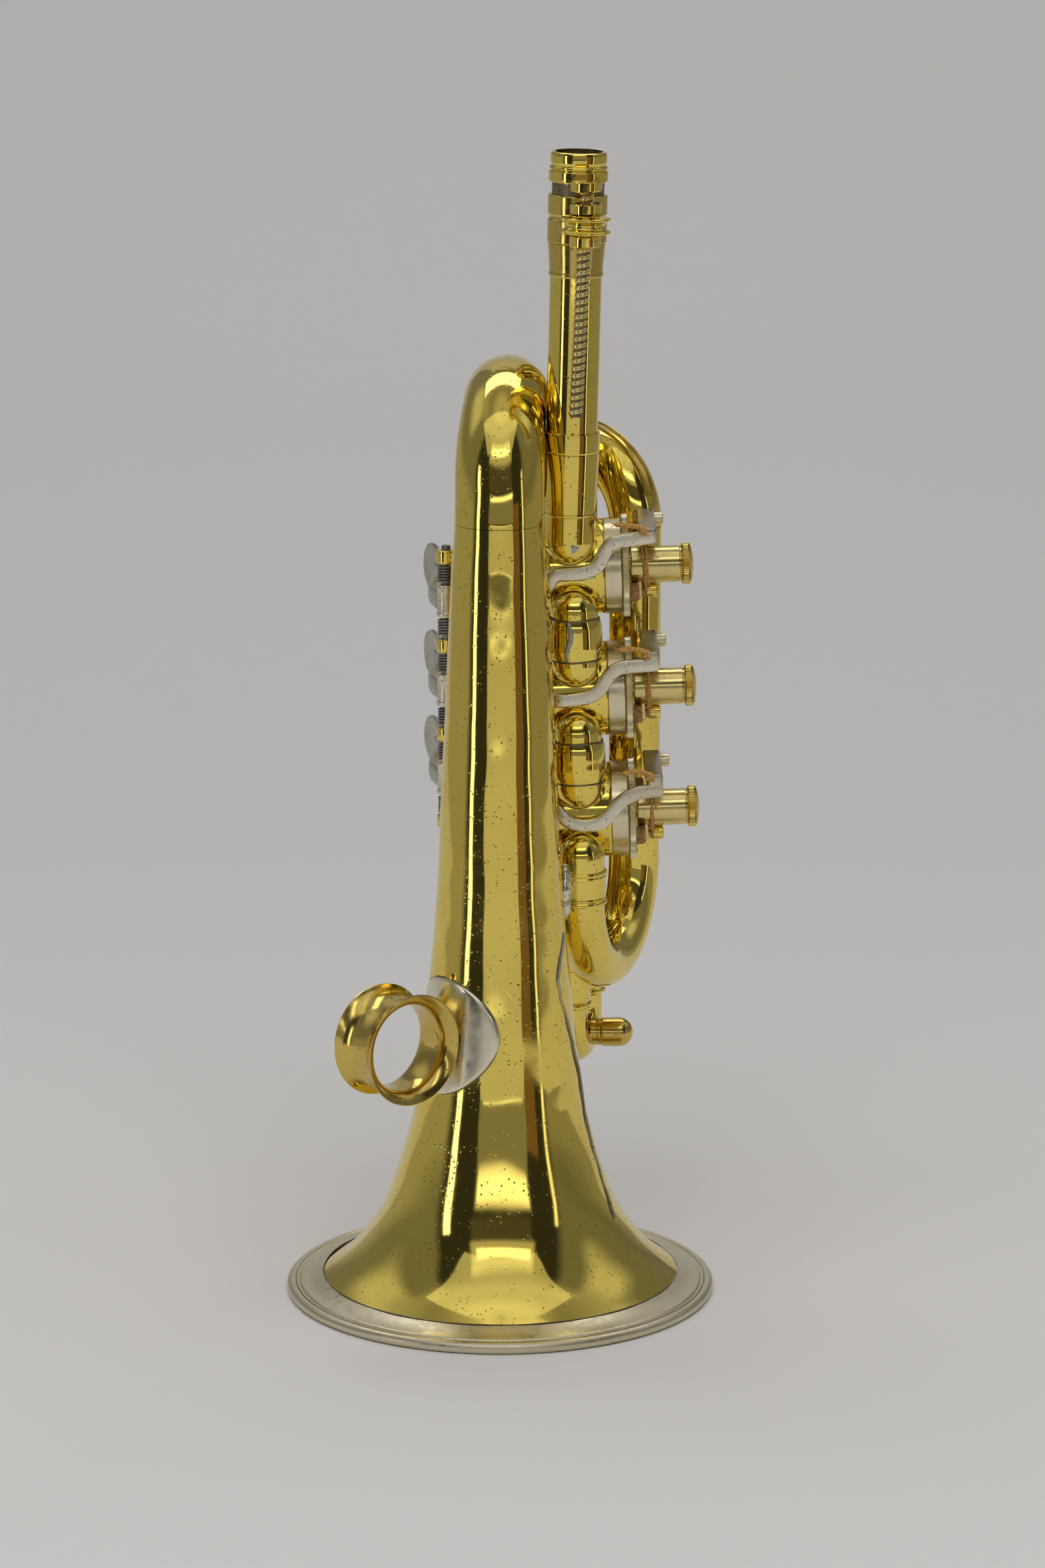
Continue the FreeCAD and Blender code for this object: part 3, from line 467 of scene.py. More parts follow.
def make_bell():
    outer = BELL_CURVE.copy()
    outline = [tuple(p) for p in outer] + [tuple(p) for p in inner(outer, WALL)[::-1]]
    piece("bell_shell", lathe(outline, P(0, 0, 0), UP, 288, hint=P(0, -1, 0)), BRASS, "horn", ["bell"],
          dent=[(30, 0.42), (12, 0.075)], weighted=False, fade=(BOW_Z, 12))

    band = spline([(SEAM_R + 0.12, SEAM_Z - 0.12), (51.4, 4.45), (53.6, 3.75), (56.1, 3.28)], 14)
    profile = [tuple(p) for p in band] + [(56.35, 3.1), (56.55, 2.85), (56.85, 2.95), (57.3, 2.9)]
    under = [(57.0, 2.2), (53.4, 3.1), (SEAM_R, SEAM_Z - 0.85)]
    piece("bell_garland_band", lathe(profile + under, P(0, 0, 0), UP, 288), GARLAND, "horn",
          ["bell_garland"], dent=[(20, 0.05)])
    wire = []
    for k in range(28):
        a = 2 * math.pi * k / 28
        wire.append((58.4 + 1.6 * math.cos(a), max(1.5 + 1.6 * math.sin(a), 0.0)))
    piece("bell_rim_bead", lathe(wire, P(0, 0, 0), UP, 288), GARLAND, "horn", ["bell_rim_wire"],
          dent=[(17, 0.05)], weighted=False)

    # the brazed seam of the gusset down the right side of the bell
    seam, edge = [], []
    for z in np.linspace(23, 104, 110):
        angle = math.radians(np.interp(z, (22, 40, 62, 77, 86, 92, 98, 104), (73, 76, 78, 67, 57, 53, 61, 75))
                             + 0.8 * math.sin(z * 0.23) + 0.5 * math.sin(z * 0.71))
        for offset, out in ((0.0, seam), (2.4, edge)):
            a = angle + math.radians(offset)
            out.append(P(math.sin(a), -math.cos(a), 0) * (bell_radius(z) + 0.0) + UP * z)
    for name, path, width, high, mat in (("seam_line", seam, 0.5, 0.26, PATINA), ("seam_solder", edge, 1.1, 0.22, SOLDER)):
        path = np.array(path)
        section = np.array(soft_bar(high, width, 2.0, 12))
        shapes = sweep(path, lambda i: section * (0.45 + 0.55 * abs(noise.noise(Vector((i * 0.13, 3.1, 0))) + 0.5)), None)
        piece("bell_" + name, shapes, mat, "horn", weighted=False)

    joint = [P(math.cos(t), math.sin(t), 0) * (SEAM_R + 0.1) + UP * (SEAM_Z + 0.02) for t in np.linspace(0, 2 * math.pi, 240,
                                                                                               endpoint=False)]
    piece("garland_joint_line", sweep(np.array(joint), lambda i: circle(0.16 + 0.07 * math.sin(i * 0.37), 8), None, True), PATINA,
          "horn", weighted=False)

    # a plain ring of dots, struck on the left of the flare
    mark_z, mark_angle = 40.5, math.radians(-41)
    dots = []
    out = P(math.sin(mark_angle), -math.cos(mark_angle), 0)
    side = P(math.cos(mark_angle), math.sin(mark_angle), 0)
    for ring_r, count, size in ((6.3, 26, 0.56), (3.7, 16, 0.40)):
        for k in range(count):
            a = 2 * math.pi * k / count
            z = mark_z + ring_r * math.sin(a)
            s = ring_r * math.cos(a)
            r = bell_radius(z)
            centre = out * math.sqrt(r * r - s * s) + side * s + UP * z
            normal = unit(out * math.sqrt(r * r - s * s) + side * s + UP * 0.33 * r)
            dots.append(lathe([(0, 0.26), (size * 0.6, 0.20), (size, 0.0), (size, -0.2), (0, -0.2)], centre, normal, 10))
    piece("struck_dot_rings", dots, WORN, "horn", weighted=False)


RING_ANGLE, RING_Z = math.radians(51), 77.0
RING_OUT = P(-math.sin(RING_ANGLE), -math.cos(RING_ANGLE), 0)
RING_HOLE = P(math.cos(RING_ANGLE), -math.sin(RING_ANGLE), 0)


def make_finger_ring():
    def patch(rho, phi, lift):
        s, z = rho * math.cos(phi), RING_Z + rho * math.sin(phi)
        r = bell_radius(z) + lift
        return RING_OUT * math.sqrt(max(r * r - s * s, 0.0)) + RING_HOLE * s + UP * z

    turns, rows = 96, []
    for rho, lift in ((0.01, 0.75), (5, 0.75), (9, 0.74), (12, 0.72), (14, 0.70), (15.3, 0.66), (15.8, 0.60), (16.1, 0.45),
                      (16.2, 0.1), (16.0, -0.2)):
        rows.append([patch(rho, 2 * math.pi * k / turns, lift) for k in range(turns)])
    disc = np.concatenate(rows), grid(len(rows), turns, False, True)
    piece("ring_seat_disc", disc, MIRROR, "horn", ["ring_disc"], dent=[(14, 0.10)])
    rim = [patch(16.25, 2 * math.pi * k / 120, 0.02) for k in range(120)]
    section = np.array(soft_bar(0.5, 0.42, 2.0, 10))
    piece("ring_seat_solder", sweep(np.array(rim), lambda i: section * (0.7 + 0.5 * noise.noise(Vector((i * 0.2, 7, 0)))),
                                    None, True), PATINA, "horn", weighted=False)

    centre = RING_OUT * 36.3 + UP * RING_Z
    inside = spline([(15.35, -7.85), (14.1, -7.2), (12.7, -5.9), (11.85, -3.4), (11.6, 0), (11.85, 3.4), (12.7, 5.9),
                     (14.1, 7.2), (15.35, 7.85)], 45)
    outside = spline([(15.55, 7.55), (14.4, 6.6), (13.3, 5.0), (12.6, 2.8), (12.4, 0), (12.6, -2.8), (13.3, -5.0),
                      (14.4, -6.6), (15.55, -7.55)], 45)
    outline = [tuple(p) for p in inside] + [(15.6, 7.78)] + [tuple(p) for p in outside] + [(15.6, -7.78)]
    ring = lathe(outline, centre, RING_HOLE, 144)
    foot = lathe(fillet([(0, -3.2), (3.9, -3.2), (3.4, -1.2), (3.3, 0.4), (3.7, 2.9), (0, 2.9)], 0.8), centre - RING_OUT * 14.2,
                 RING_OUT, 48)
    piece("finger_ring_spool", [ring, foot], AGED, "horn", ["finger_ring"], dent=[(9, 0.12)], weighted=False)


# ------------------------------------------------------------------ the wrap
TAIL, BACKT, RETURN = P(4, 60, 0), P(11, 91.7, 0), P(38.5, 63.2, 0)
TAIL_BOW_Z, UPPER_BOW_Z, LOWER_BOW_Z = 95.0, 206.1, 109.5


def ferrule(centre, axis, r, length=7.0, rise=0.5, turns=96):
    """A sleeve over a joint, with a bead and a groove at each end."""
    half, top = length / 2, r + rise
    outline = [(r, -half), (top + 0.1, -half)]
    for sign in (-1, 1):
        bead = [(top + 0.3, sign * (half - 0.1)), (top + 0.38, sign * (half - 0.55)), (top + 0.3, sign * (half - 1.0)),
                (top - 0.08, sign * (half - 1.25)), (top + 0.14, sign * (half - 1.5)), (top + 0.14, sign * (half - 1.9)),
                (top, sign * (half - 2.15))]
        outline += bead if sign < 0 else bead[::-1]
    outline += [(top + 0.1, half), (r, half)]
    return lathe(fillet(outline, 0.12, 2), centre, axis, turns)


def make_wrap():
    bow = arc(P(0, 0, BOW_Z), TAIL + UP * BOW_Z, UP, 121)
    piece("big_bow", tube(bow, 12.35, 10.4, 128), BRASS, "horn", ["bell_bow"],
          dent=[(24, 0.60), (11, 0.12)], weighted=False, fade=(BOW_Z, 12))
    tubes = {
        "tail_branch": ("tail_tube", line(TAIL + UP * TAIL_BOW_Z, TAIL + UP * BOW_Z, 40), 9.0, 10.4),
        "tail_crook": ("tail_bow", arc(TAIL + UP * TAIL_BOW_Z, BACKT + UP * TAIL_BOW_Z, DOWN, 81), 9.0, 8.4),
        "back_branch": ("back_tube", line(BACKT + UP * TAIL_BOW_Z, BACKT + UP * UPPER_BOW_Z, 40), 8.4, 8.0),
        "upper_crook": ("upper_bow", arc(BACKT + UP * UPPER_BOW_Z, RETURN + UP * UPPER_BOW_Z, UP, 81), 8.0, 7.5),
        "return_branch": ("return_tube", line(RETURN + UP * LOWER_BOW_Z, RETURN + UP * UPPER_BOW_Z, 40), 7.3, 7.5),
    }
    for name, (node, path, r0, r1) in tubes.items():
        piece(name, tube(path, r0, r1, 80), BRASS, "horn", [node], dent=[(14, 0.08)], weighted=False)
    outlet = port_point(3, -1)
    low = P(outlet[0], outlet[1], LOWER_BOW_Z)
    piece("lower_crook", tube(arc(low, RETURN + UP * LOWER_BOW_Z, DOWN, 81), PORT_R, 7.3, 80), BRASS, "horn",
          ["lower_bow"], dent=[(14, 0.14)], weighted=False)

    # guard strip on the outside of the upper bow: a thin band with a raised edge each side
    a, c = RETURN + UP * UPPER_BOW_Z, BACKT + UP * UPPER_BOW_Z
    mid, side = (a + c) / 2, unit(c - a)
    half = np.linalg.norm(c - a) / 2
    across = np.cross(side, UP)
    path, tilt = [], []
    for degrees in np.linspace(20, 160, 70):
        t = math.radians(degrees)
        out = side * -math.cos(t) + UP * math.sin(t)
        r = 7.5 + 0.5 * degrees / 180
        path.append(mid + out * (half + r + 0.05))
        tilt.append(out)
    shapes = []
    for offset, width, high in ((0.0, 2.6, 0.7), (-1.35, 0.7, 1.3), (1.35, 0.7, 1.3)):
        rows = []
        for p, out in zip(path, tilt):
            rows.append([p + across * (offset + x) + out * y for x, y in soft_bar(width, high, 2.6, 12)])
        shapes.append((np.concatenate(rows), grid(len(rows), 12, False, True)))
    piece("bow_guard_strip", shapes, AGED, "horn", ["bow_guard"], weighted=False)

    foot = P(outlet[0], outlet[1], 112.3)
    sleeves = [ferrule(TAIL + UP * (BOW_Z - 5), UP, 10.46, 10.0, 0.3), ferrule(TAIL + UP * (TAIL_BOW_Z + 5), UP, 9.1, 9.0),
               ferrule(BACKT + UP * (TAIL_BOW_Z + 5), UP, 8.45, 9.0), ferrule(BACKT + UP * (UPPER_BOW_Z - 5), UP, 8.05, 9.0),
               ferrule(foot, UP, PORT_R + 0.02, 9.6, 0.35)]
    piece("joint_sleeves", sleeves, BRASS, "horn", ["tube_ferrules"])


def make_stays():
    shapes = []
    for p, rp, q, rq, z in ((TAIL, 9.6, BACKT, 8.3, 140), (BACKT, 8.1, RETURN, 7.5, 190)):
        step = unit(q - p)
        length = np.linalg.norm(q - p) - rp - rq + 1.2
        outline = [(0, 0), (3.2, 0), (3.0, 0.7), (1.9, 1.4), (1.5, 2.4)]
        middle = [(1.5, length / 2 - 1.4), (2.2, length / 2 - 0.5), (2.2, length / 2 + 0.5), (1.5, length / 2 + 1.4)]
        outline += middle + [(r, length - h) for r, h in outline[::-1]]
        shapes.append(lathe(fillet(outline, 0.3), p + UP * z + step * (rp - 0.6), step, 48))
    piece("wrap_stays", shapes, BRASS, "horn")
    outlet = port_point(3, -1)
    step = unit(P(outlet[0], outlet[1], 0))
    side = np.cross(UP, step)
    # plate of solder and brass that holds the lower bow to the bell
    rows = []
    for z in np.linspace(98.2, 113.8, 24):
        sag = 0.35 * noise.noise(Vector((z * 0.3, 0, 2)))
        near, far = bell_radius(z) - 0.4, np.hypot(outlet[0], outlet[1]) - 7.0
        pts = []
        for k in range(20):
            t = 2 * math.pi * k / 20
            across = (2.0 + 1.9 * abs(math.cos(t)) ** 3 + sag * 2) * math.sin(t)
            pts.append(step * ((near + far) / 2 + (far - near + 1.2) / 2 * math.cos(t)) + side * across + UP * z)
        rows.append(pts)
    points = np.concatenate(rows + [[step * 20.5 + UP * 98.2, step * 20.5 + UP * 113.8]])
    faces = grid(24, 20, False, True)
    faces += [(480, (k + 1) % 20, k) for k in range(20)] + [(481, 460 + k, 460 + (k + 1) % 20) for k in range(20)]
    plate = piece("bell_plate", (points, faces), SOLDER, "horn", weighted=False)
    rows = []
    for k, z in enumerate(np.linspace(104.5, 121.5, 40)):
        t = (z - 113) / 8.5
        size = math.sqrt(max(0.0, 1 - t * t)) * (1 + 0.22 * noise.noise(Vector((z * 0.33, 4, 0)))) + 0.04
        centre = P(18.15 + 0.25 * noise.noise(Vector((z * 0.25, 9, 0))), 5.9, z)
        rows.append([centre + P(math.cos(a) * 1.75 * size, math.sin(a) * 3.4 * size, 0)
                     for a in np.linspace(0, 2 * math.pi, 20, endpoint=False)])
    piece("sleeve_solder", (np.concatenate(rows), grid(40, 20, False, True)), BRIGHT_SOLDER, "horn", dent=[(2.2, 0.5)],
          weighted=False)
    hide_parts("stays")


# ------------------------------------------------------------------ leadpipe, receiver and adjusting screw
def make_leadpipe():
    piece("leadpipe_tube", tube(line(lead(218.2), lead(288.4), 30), 7.1, sides=96), BRASS, "horn", ["leadpipe"],
          dent=[(16, 0.05)], weighted=False)
    bore = 7.2
    collar = [(7.1, -8.6), (7.35, -8.6), (7.5, -8.1), (7.5, -7.6), (7.32, -7.35), (7.35, -7.0), (7.85, 0.5), (7.6, 0.62),
              (8.0, 0.75), (8.15, 0.95), (8.15, 6.8), (8.0, 7.0), (7.75, 7.3), (7.75, 8.1), (8.0, 8.4), (8.15, 8.6),
              (8.15, 13.5), (7.9, 13.8), (bore, 13.8), (bore, -4.1), (7.1, -4.1)]
    piece("receiver_collar", lathe(fillet(collar, 0.12, 2), lead(292.6), LEAD_AXIS, 128), AGED, "horn",
          ["leadpipe_collar"])
    foot = [(7.1, 1.9), (7.2, 1.9), (7.45, 2.2), (7.5, 2.6), (7.3, 2.95), (7.35, 3.4), (7.72, 19.3), (7.6, 19.6), (7.76, 19.9),
            (7.8, 25.0), (7.7, 25.3), (7.1, 25.3)]
    piece("leadpipe_sleeve", lathe(fillet(foot, 0.1, 2), lead(216.0), LEAD_AXIS, 128), BRASS, "horn",
          ["leadpipe_ferrule"], dent=[(9, 0.08)])
    # solder that joins the sleeve to the big bow
    rows = []
    for z in np.linspace(223, 243, 40):
        wobble = 0.6 * noise.noise(Vector((z * 0.35, 1, 0)))
        centre = lead(z) + P(-7.75, -1.5 + wobble * 0.5, 0)
        size = (1.0 + wobble * 0.4) * math.sqrt(max(0.0, 1 - ((z - 233) / 10.2) ** 2)) + 0.08
        rows.append([centre + P(math.cos(t) * size * 0.9, math.sin(t) * size * 1.6, 0)
                     for t in np.linspace(0, 2 * math.pi, 14, endpoint=False)])
    piece("bow_solder", (np.concatenate(rows), grid(40, 14, False, True)), PATINA, "horn", weighted=False)

    rim = [(6.5, 0), (6.62, 0.1), (7.1, 0.0), (7.45, 0.2), (7.68, 0.8), (7.75, 1.7), (7.68, 2.8), (7.5, 3.4), (7.4, 3.65),
           (7.75, 3.85), (7.95, 4.1), (8.0, 4.35), (7.92, 4.6), (7.6, 4.85), (7.6, 5.0), (8.0, 5.2), (8.1, 5.4), (8.1, 7.9),
           (7.95, 8.1), (7.15, 8.1), (7.15, 8.4), (6.5, 8.4)]
    piece("socket_rim", lathe(fillet([(r, -h) for r, h in rim], 0.1, 2), lead(318.0), LEAD_AXIS, 128), BRASS, "mouthpipe",
          dent=[(9, 0.05)])
    pipe = [(7.15, 8.3), (7.15, 27.4), (6.45, 27.4), (6.45, 74.0), (5.8, 74.0), (5.8, 25.5), (6.5, 25.5), (6.5, 0.4),
            (6.6, 0.4), (6.6, 8.3)]
    obj = piece("sliding_receiver", lathe([(r, -h) for r, h in pipe], lead(318.0), LEAD_AXIS, 96), PATINA, "mouthpipe",
                ["mouthpipe_socket"])

    def nosed(low, high, half_width):
        """A round-nosed block on the screw's axis that reaches back to the pipe."""
        points, n = [], 24
        for h, grow in ((low, -0.35), (low + 0.3, 0), (high - 0.3, 0), (high, -0.35)):
            ring = []
            centre = screw_at(h)
            for k in range(n + 1):
                t = math.pi + math.pi * k / n
                ring.append(centre + P(math.cos(t), math.sin(t), 0) * (4.25 + grow))
            ring.append(centre + P(half_width + grow, 7.6, 0))
            ring.append(centre + P(-half_width - grow, 7.6, 0))
            points.append(ring)
        cols = n + 3
        flat = np.concatenate(points + [[screw_at(low) + P(0, 3, 0), screw_at(high) + P(0, 3, 0)]])
        faces = grid(4, cols, False, True)
        faces += [(4 * cols, (k + 1) % cols, k) for k in range(cols)]
        faces += [(4 * cols + 1, 3 * cols + k, 3 * cols + (k + 1) % cols) for k in range(cols)]
        return flat, faces

    piece("screw_bearings", [nosed(302.8, 305.6, 3.3), nosed(293.9, 296.9, 3.3)], BRASS, "horn",
          ["adjuster_bosses"])
    piece("screw_lug", nosed(308.9, 311.7, 3.6), BRASS, "mouthpipe", ["adjuster_lug"])

    wheel = [(2.1, 0.05), (4.4, 0.05), (4.7, 0.3), (6.4, 0.45), (6.7, 0.6), (6.75, 0.85), (6.7, 1.1), (6.4, 1.3), (5.7, 1.75),
             (5.3, 2.3), (5.3, 2.9), (5.7, 3.5), (6.4, 3.9), (6.7, 4.1), (6.75, 4.35), (6.7, 4.6), (6.4, 4.8), (4.7, 5.2),
             (4.4, 5.4), (2.1, 5.4)]
    piece("knurled_wheel", lathe(fillet(wheel, 0.1, 2), screw_at(297.1), LEAD_AXIS, knurl=(6.5, 6.8, 0, 5.4, 84, 0.16)), BRASS,
          "tuning_wheel", ["adjuster_wheel"])

    # the screw: a real thread, leaning a little as old ones do
    foot_z, top_z, pitch, cols = 247.0, 310.5, 2.0, 40
    x, y = square_to(LEAD_AXIS)
    rows = []

    def row_centre(z):
        return screw_at(z) + P(-1.35 * (299 - z) / 52 if z < 299 else 0.25 * (z - 299) / 10, 0, 0)

    for h in np.linspace(0, top_z - foot_z, 520):
        centre = row_centre(foot_z + h)
        ring = []
        for k in range(cols):
            a = 2 * math.pi * k / cols
            phase = (h / pitch - k / cols) % 1.0
            r = 1.5 + 0.5 * min(1.0, max(0.0, 1.75 - abs(phase - 0.5) * 4.4))
            if h < 1.2:
                r = min(r, 1.2 + 0.4 * h)
            ring.append(centre + (x * math.cos(a) + y * math.sin(a)) * r)
        rows.append(ring)
    flat = np.concatenate(rows + [[screw_at(foot_z) + P(-1.35, 0, 0), screw_at(top_z)]])
    last = (len(rows) - 1) * cols
    faces = grid(len(rows), cols, False, True)
    faces += [(len(rows) * cols, (k + 1) % cols, k) for k in range(cols)]
    faces += [(len(rows) * cols + 1, last + k, last + (k + 1) % cols) for k in range(cols)]
    piece("threaded_rod", (flat, faces), WORN, "mouthpipe", ["adjuster_screw"], weighted=False)
    core = [row_centre(z) for z in np.linspace(foot_z + 0.6, top_z - 0.4, 120)]
    piece("dark_thread_root", tube(core, 1.64, sides=32), PATINA, "mouthpipe", weighted=False)


# ------------------------------------------------------------------ valves
def make_valve(n):
    centre = ROTORS[n]
    shell = [(11.3, 8.9), (11.3, -5.8), (5.5, -5.8), (5.5, -7.3), (12.4, -7.3), (13.3, -6.4), (13.3, -1.0), (13.3, 8.2),
             (13.1, 8.9)]
    piece("casing_%d" % n, lathe(fillet(shell, 0.2), centre, ALONG, 128), BRASS, "horn", ["valve_casing_%d" % n],
          dent=[(15, 0.04)])
    x = ALONG
    hub = [(3.0, 16.2), (4.9, 16.2), (5.15, 16.5), (5.15, 29.9), (4.95, 30.1), (4.95, 30.4), (3.0, 30.4)]
    shapes = [lathe(fillet(hub, 0.12, 2), centre, x, 96), block(spot(n, 17.9, 0, -4.8), (3.2, 5.0, 8.8), (x, BACK, ROW), 0.5)]
    shapes.append(lathe(fillet([(0, 19.5), (1.05, 19.5), (1.05, 20.7), (0, 20.7)], 0.05), spot(n, 0, 0, -7.3), x, 24))
    piece("stop_hub_set_%d" % n, shapes, WORN, "rotor_%d_set" % n, ["stop_hub_%d" % n])
    piece("stop_screw_%d" % n, slotted(spot(n, 20.7, 0, -7.3), x, 1.95, 2.8, BACK), BRASS, "rotor_%d_set" % n)
    cap = [(0, 0), (5.2, 0), (5.6, 0.25), (5.75, 0.6), (5.75, 2.0), (5.5, 2.45), (4.4, 2.9), (2.4, 3.35), (0, 3.5)]
    piece("hub_cap_knurled_%d" % n, lathe(fillet(cap, 0.12, 2), centre + x * 30.4, x, knurl=(5.3, 5.8, 0.2, 2.5, 70, 0.24)), AGED,
          "rotor_%d_set" % n, ["hub_cap_%d" % n])
    stem = [(0, 8.0), (3.0, 8.0), (3.0, 16.3), (0, 16.3)]
    piece("rotor_body_%d" % n, [lathe([(0, -5.7), (11.25, -5.7), (11.25, 8.0), (0, 8.0)], centre, x, 64),
                                lathe(stem, centre, x, 32)], AGED, "rotor_%d_set" % n, ["rotor_%d" % n])


def slotted(centre, axis, radius, height, slot_way):
    """A cheese-head screw: a turned head whose slot is pressed into a fine top face."""
    a, b = square_to(axis, slot_way)
    turns, rows = 72, []
    radii = [radius, radius, radius, radius * 0.97, radius * 0.9] + [radius * f for f in np.linspace(0.82, 0.02, 14)]
    heights = [0, height * 0.5, height - 0.25, height - 0.08, height] + [height + 0.04] * 14
    for r, h in zip(radii, heights):
        ring = []
        for k in range(turns):
            t = 2 * math.pi * k / turns
            s = r * math.sin(t)
            deep = 0.75 if abs(s) < 0.38 and h > height - 0.1 else 0.0
            ring.append(centre + a * r * math.cos(t) + b * s + unit(axis) * (h - deep))
        rows.append(ring)
    return np.concatenate(rows), grid(len(rows), turns, False, True)


def make_valve_trim():
    plates, rings, caps, screws = [], [], [], []
    for n in (1, 2, 3):
        centre = ROTORS[n]
        plate = [(3.05, 0), (13.3, 0), (13.4, 0.25), (13.4, 4.6), (13.2, 4.9), (3.05, 4.9)]
        plates.append(lathe(fillet(plate, 0.12, 2), centre + ALONG * 8.9, ALONG, 128))
        plates.append(lathe(fillet([(3.05, 4.5), (6.4, 4.5), (6.1, 6.4), (3.05, 6.4)], 0.3), centre + ALONG * 8.9, ALONG, 64))
        ring = [(11.8, 0), (14.1, 0), (14.35, 0.25), (14.35, 1.75), (14.1, 2.0), (12.1, 2.0), (11.8, 1.8)]
        rings.append(lathe(fillet(ring, 0.08, 2), centre + ALONG * 13.8, ALONG, knurl=(14.05, 14.4, 0, 2, 150, 0.36)))
        cap = [(0, -11.8), (3.0, -11.9), (8.0, -11.6), (8.9, -11.1), (9.2, -10.6), (9.2, -7.3), (5.4, -7.3), (0, -7.3)]
        caps.append(lathe(fillet(cap, 0.2), centre, ALONG, 96))
    piece("end_plates", plates, SILVER, "horn", ["bearing_plates"])
    piece("knurled_clamp_rings", rings, SILVER, "horn", ["clamp_rings"])
    piece("rear_screw_caps", caps, BRASS, "horn", ["rear_caps"])
    corks = []
    for n in (1, 2, 3):
        corks.append(block(spot(n, 16.1, -4.9, -6.8), (4.6, 4.2, 4.6), (ALONG, BACK, ROW), 0.7))
        corks.append(block(spot(n, 16.1, 7.0, 4.8), (4.6, 4.0, 4.0), (ALONG, BACK, ROW), 0.7))
    piece("stop_corks", corks, CORK, "horn", ["cork_stops"], dent=[(1.2, 0.25)], weighted=False)


def capsule(corner, end, radius, count=18):
    """A dome elbow: a round end at corner and a straight pipe to end."""
    axis = unit(end - corner)
    length = np.linalg.norm(end - corner)
    outline = [(radius * math.sin(t), -radius * math.cos(t)) for t in np.linspace(0, math.pi / 2, count)]
    outline += [(radius, length), (0, length)]
    return lathe(outline, corner, axis, 96)


def branch(n, corner, radius):
    """The short pipe from a dome back into its casing."""
    return tube(line(corner, P(corner[0], ROTORS[n][1] - 11.9, corner[2]), 6), radius, sides=64)


def make_ports():
    top = lead(port_point(1, 1)[2] + 0.2)
    inlet = [capsule(top, lead(218.1), 7.1), branch(1, top, PORT_R)]
    piece("inlet_dome", inlet, BRASS, "horn", ["inlet_elbow"], dent=[(10, 0.08)], weighted=False)
    patch = []
    for ring in range(5):
        for k in range(18):
            a = 2 * math.pi * k / 18
            r = ring / 4 * (1.25 + 0.35 * math.sin(3 * a + 1))
            d = unit(P(0.22 + 0.14 * r * math.cos(a), -1, -0.22 + 0.14 * r * math.sin(a)))
            patch.append(top + d * (7.1 + 0.09 - 0.08 * (ring / 4) ** 4))
    piece("inlet_patch", (np.array(patch), grid(5, 18, False, True)), SOLDER, "horn", weighted=False)
    low = port_point(3, -1)
    piece("outlet_dome", [capsule(low, P(low[0], low[1], LOWER_BOW_Z), PORT_R), branch(3, low, PORT_R)], BRASS, "horn",
          ["outlet_elbow"], dent=[(10, 0.08)], weighted=False)
    for n in (1, 2):
        a, b = port_point(n, -1), port_point(n + 1, 1)
        step, length = unit(b - a), np.linalg.norm(b - a)
        domes = [capsule(a, a + step * length / 2, PORT_R), capsule(b, b - step * length / 2, PORT_R),
                 branch(n, a, PORT_R), branch(n + 1, b, PORT_R)]
        domes_obj = piece("link_domes_%d_%d" % (n, n + 1), domes, BRASS, "horn", ["link_%d_%d" % (n, n + 1)],
                          dent=[(10, 0.08)], weighted=False)
        curve = spline([(6.95, 1.6), (7.45, 3.2), (7.65, length / 2), (7.45, length - 3.2), (6.95, length - 1.6)], 25)
        outline = [tuple(p) for p in curve] + [(6.55, length - 1.5), (6.55, 1.5)]
        piece("link_sleeve_%d_%d" % (n, n + 1), lathe(outline, a, step, 96), BRASS, "horn", dent=[(9, 0.10)])
        for h in (1.5, length - 1.5):
            seam = [a + step * (h + 0.12 * math.sin(3 * t + n)) + P(math.cos(t), math.sin(t), 0) * 6.95
                    for t in np.linspace(0, 2 * math.pi, 90, endpoint=False)]
            piece("link_joint_%d_%d_%d" % (n, n + 1, int(h > 5)), sweep(np.array(seam), lambda i: circle(0.28, 8), None, True), PATINA,
                  "horn", weighted=False)
    # an old crack in the first link, filled with solder
    a, b = port_point(1, -1), port_point(2, 1)
    step, length = unit(b - a), np.linalg.norm(b - a)
    path = []
    for k in range(26):
        t = k / 25
        angle = math.radians(-104 + 6 * math.sin(5 * t) + 4 * noise.noise(Vector((t * 5, 2, 2))))
        r = 7.6 - 0.75 * (2 * t - 1) ** 4
        path.append(a + step * (1.6 + t * (length - 3.2)) + P(math.cos(angle), math.sin(angle), 0) * r)
    section = np.array(soft_bar(0.5, 1.3, 2.0, 12))
    shapes = [sweep(np.array(path), lambda i: section * (0.5 + 0.5 * math.sin(math.pi * i / 25) + 0.25), None)]
    piece("link_crack_solder", shapes, SOLDER, "horn", weighted=False)


# ------------------------------------------------------------------ slides
SLIDES = {1: ((21.4, 46.0, 1), (21.4, 59.5, -1), UP, 280.0, 284.0), 3: ((19.8, 50.0, -1), (24.0, 66.0, 1), DOWN, 69.5, 63.3)}


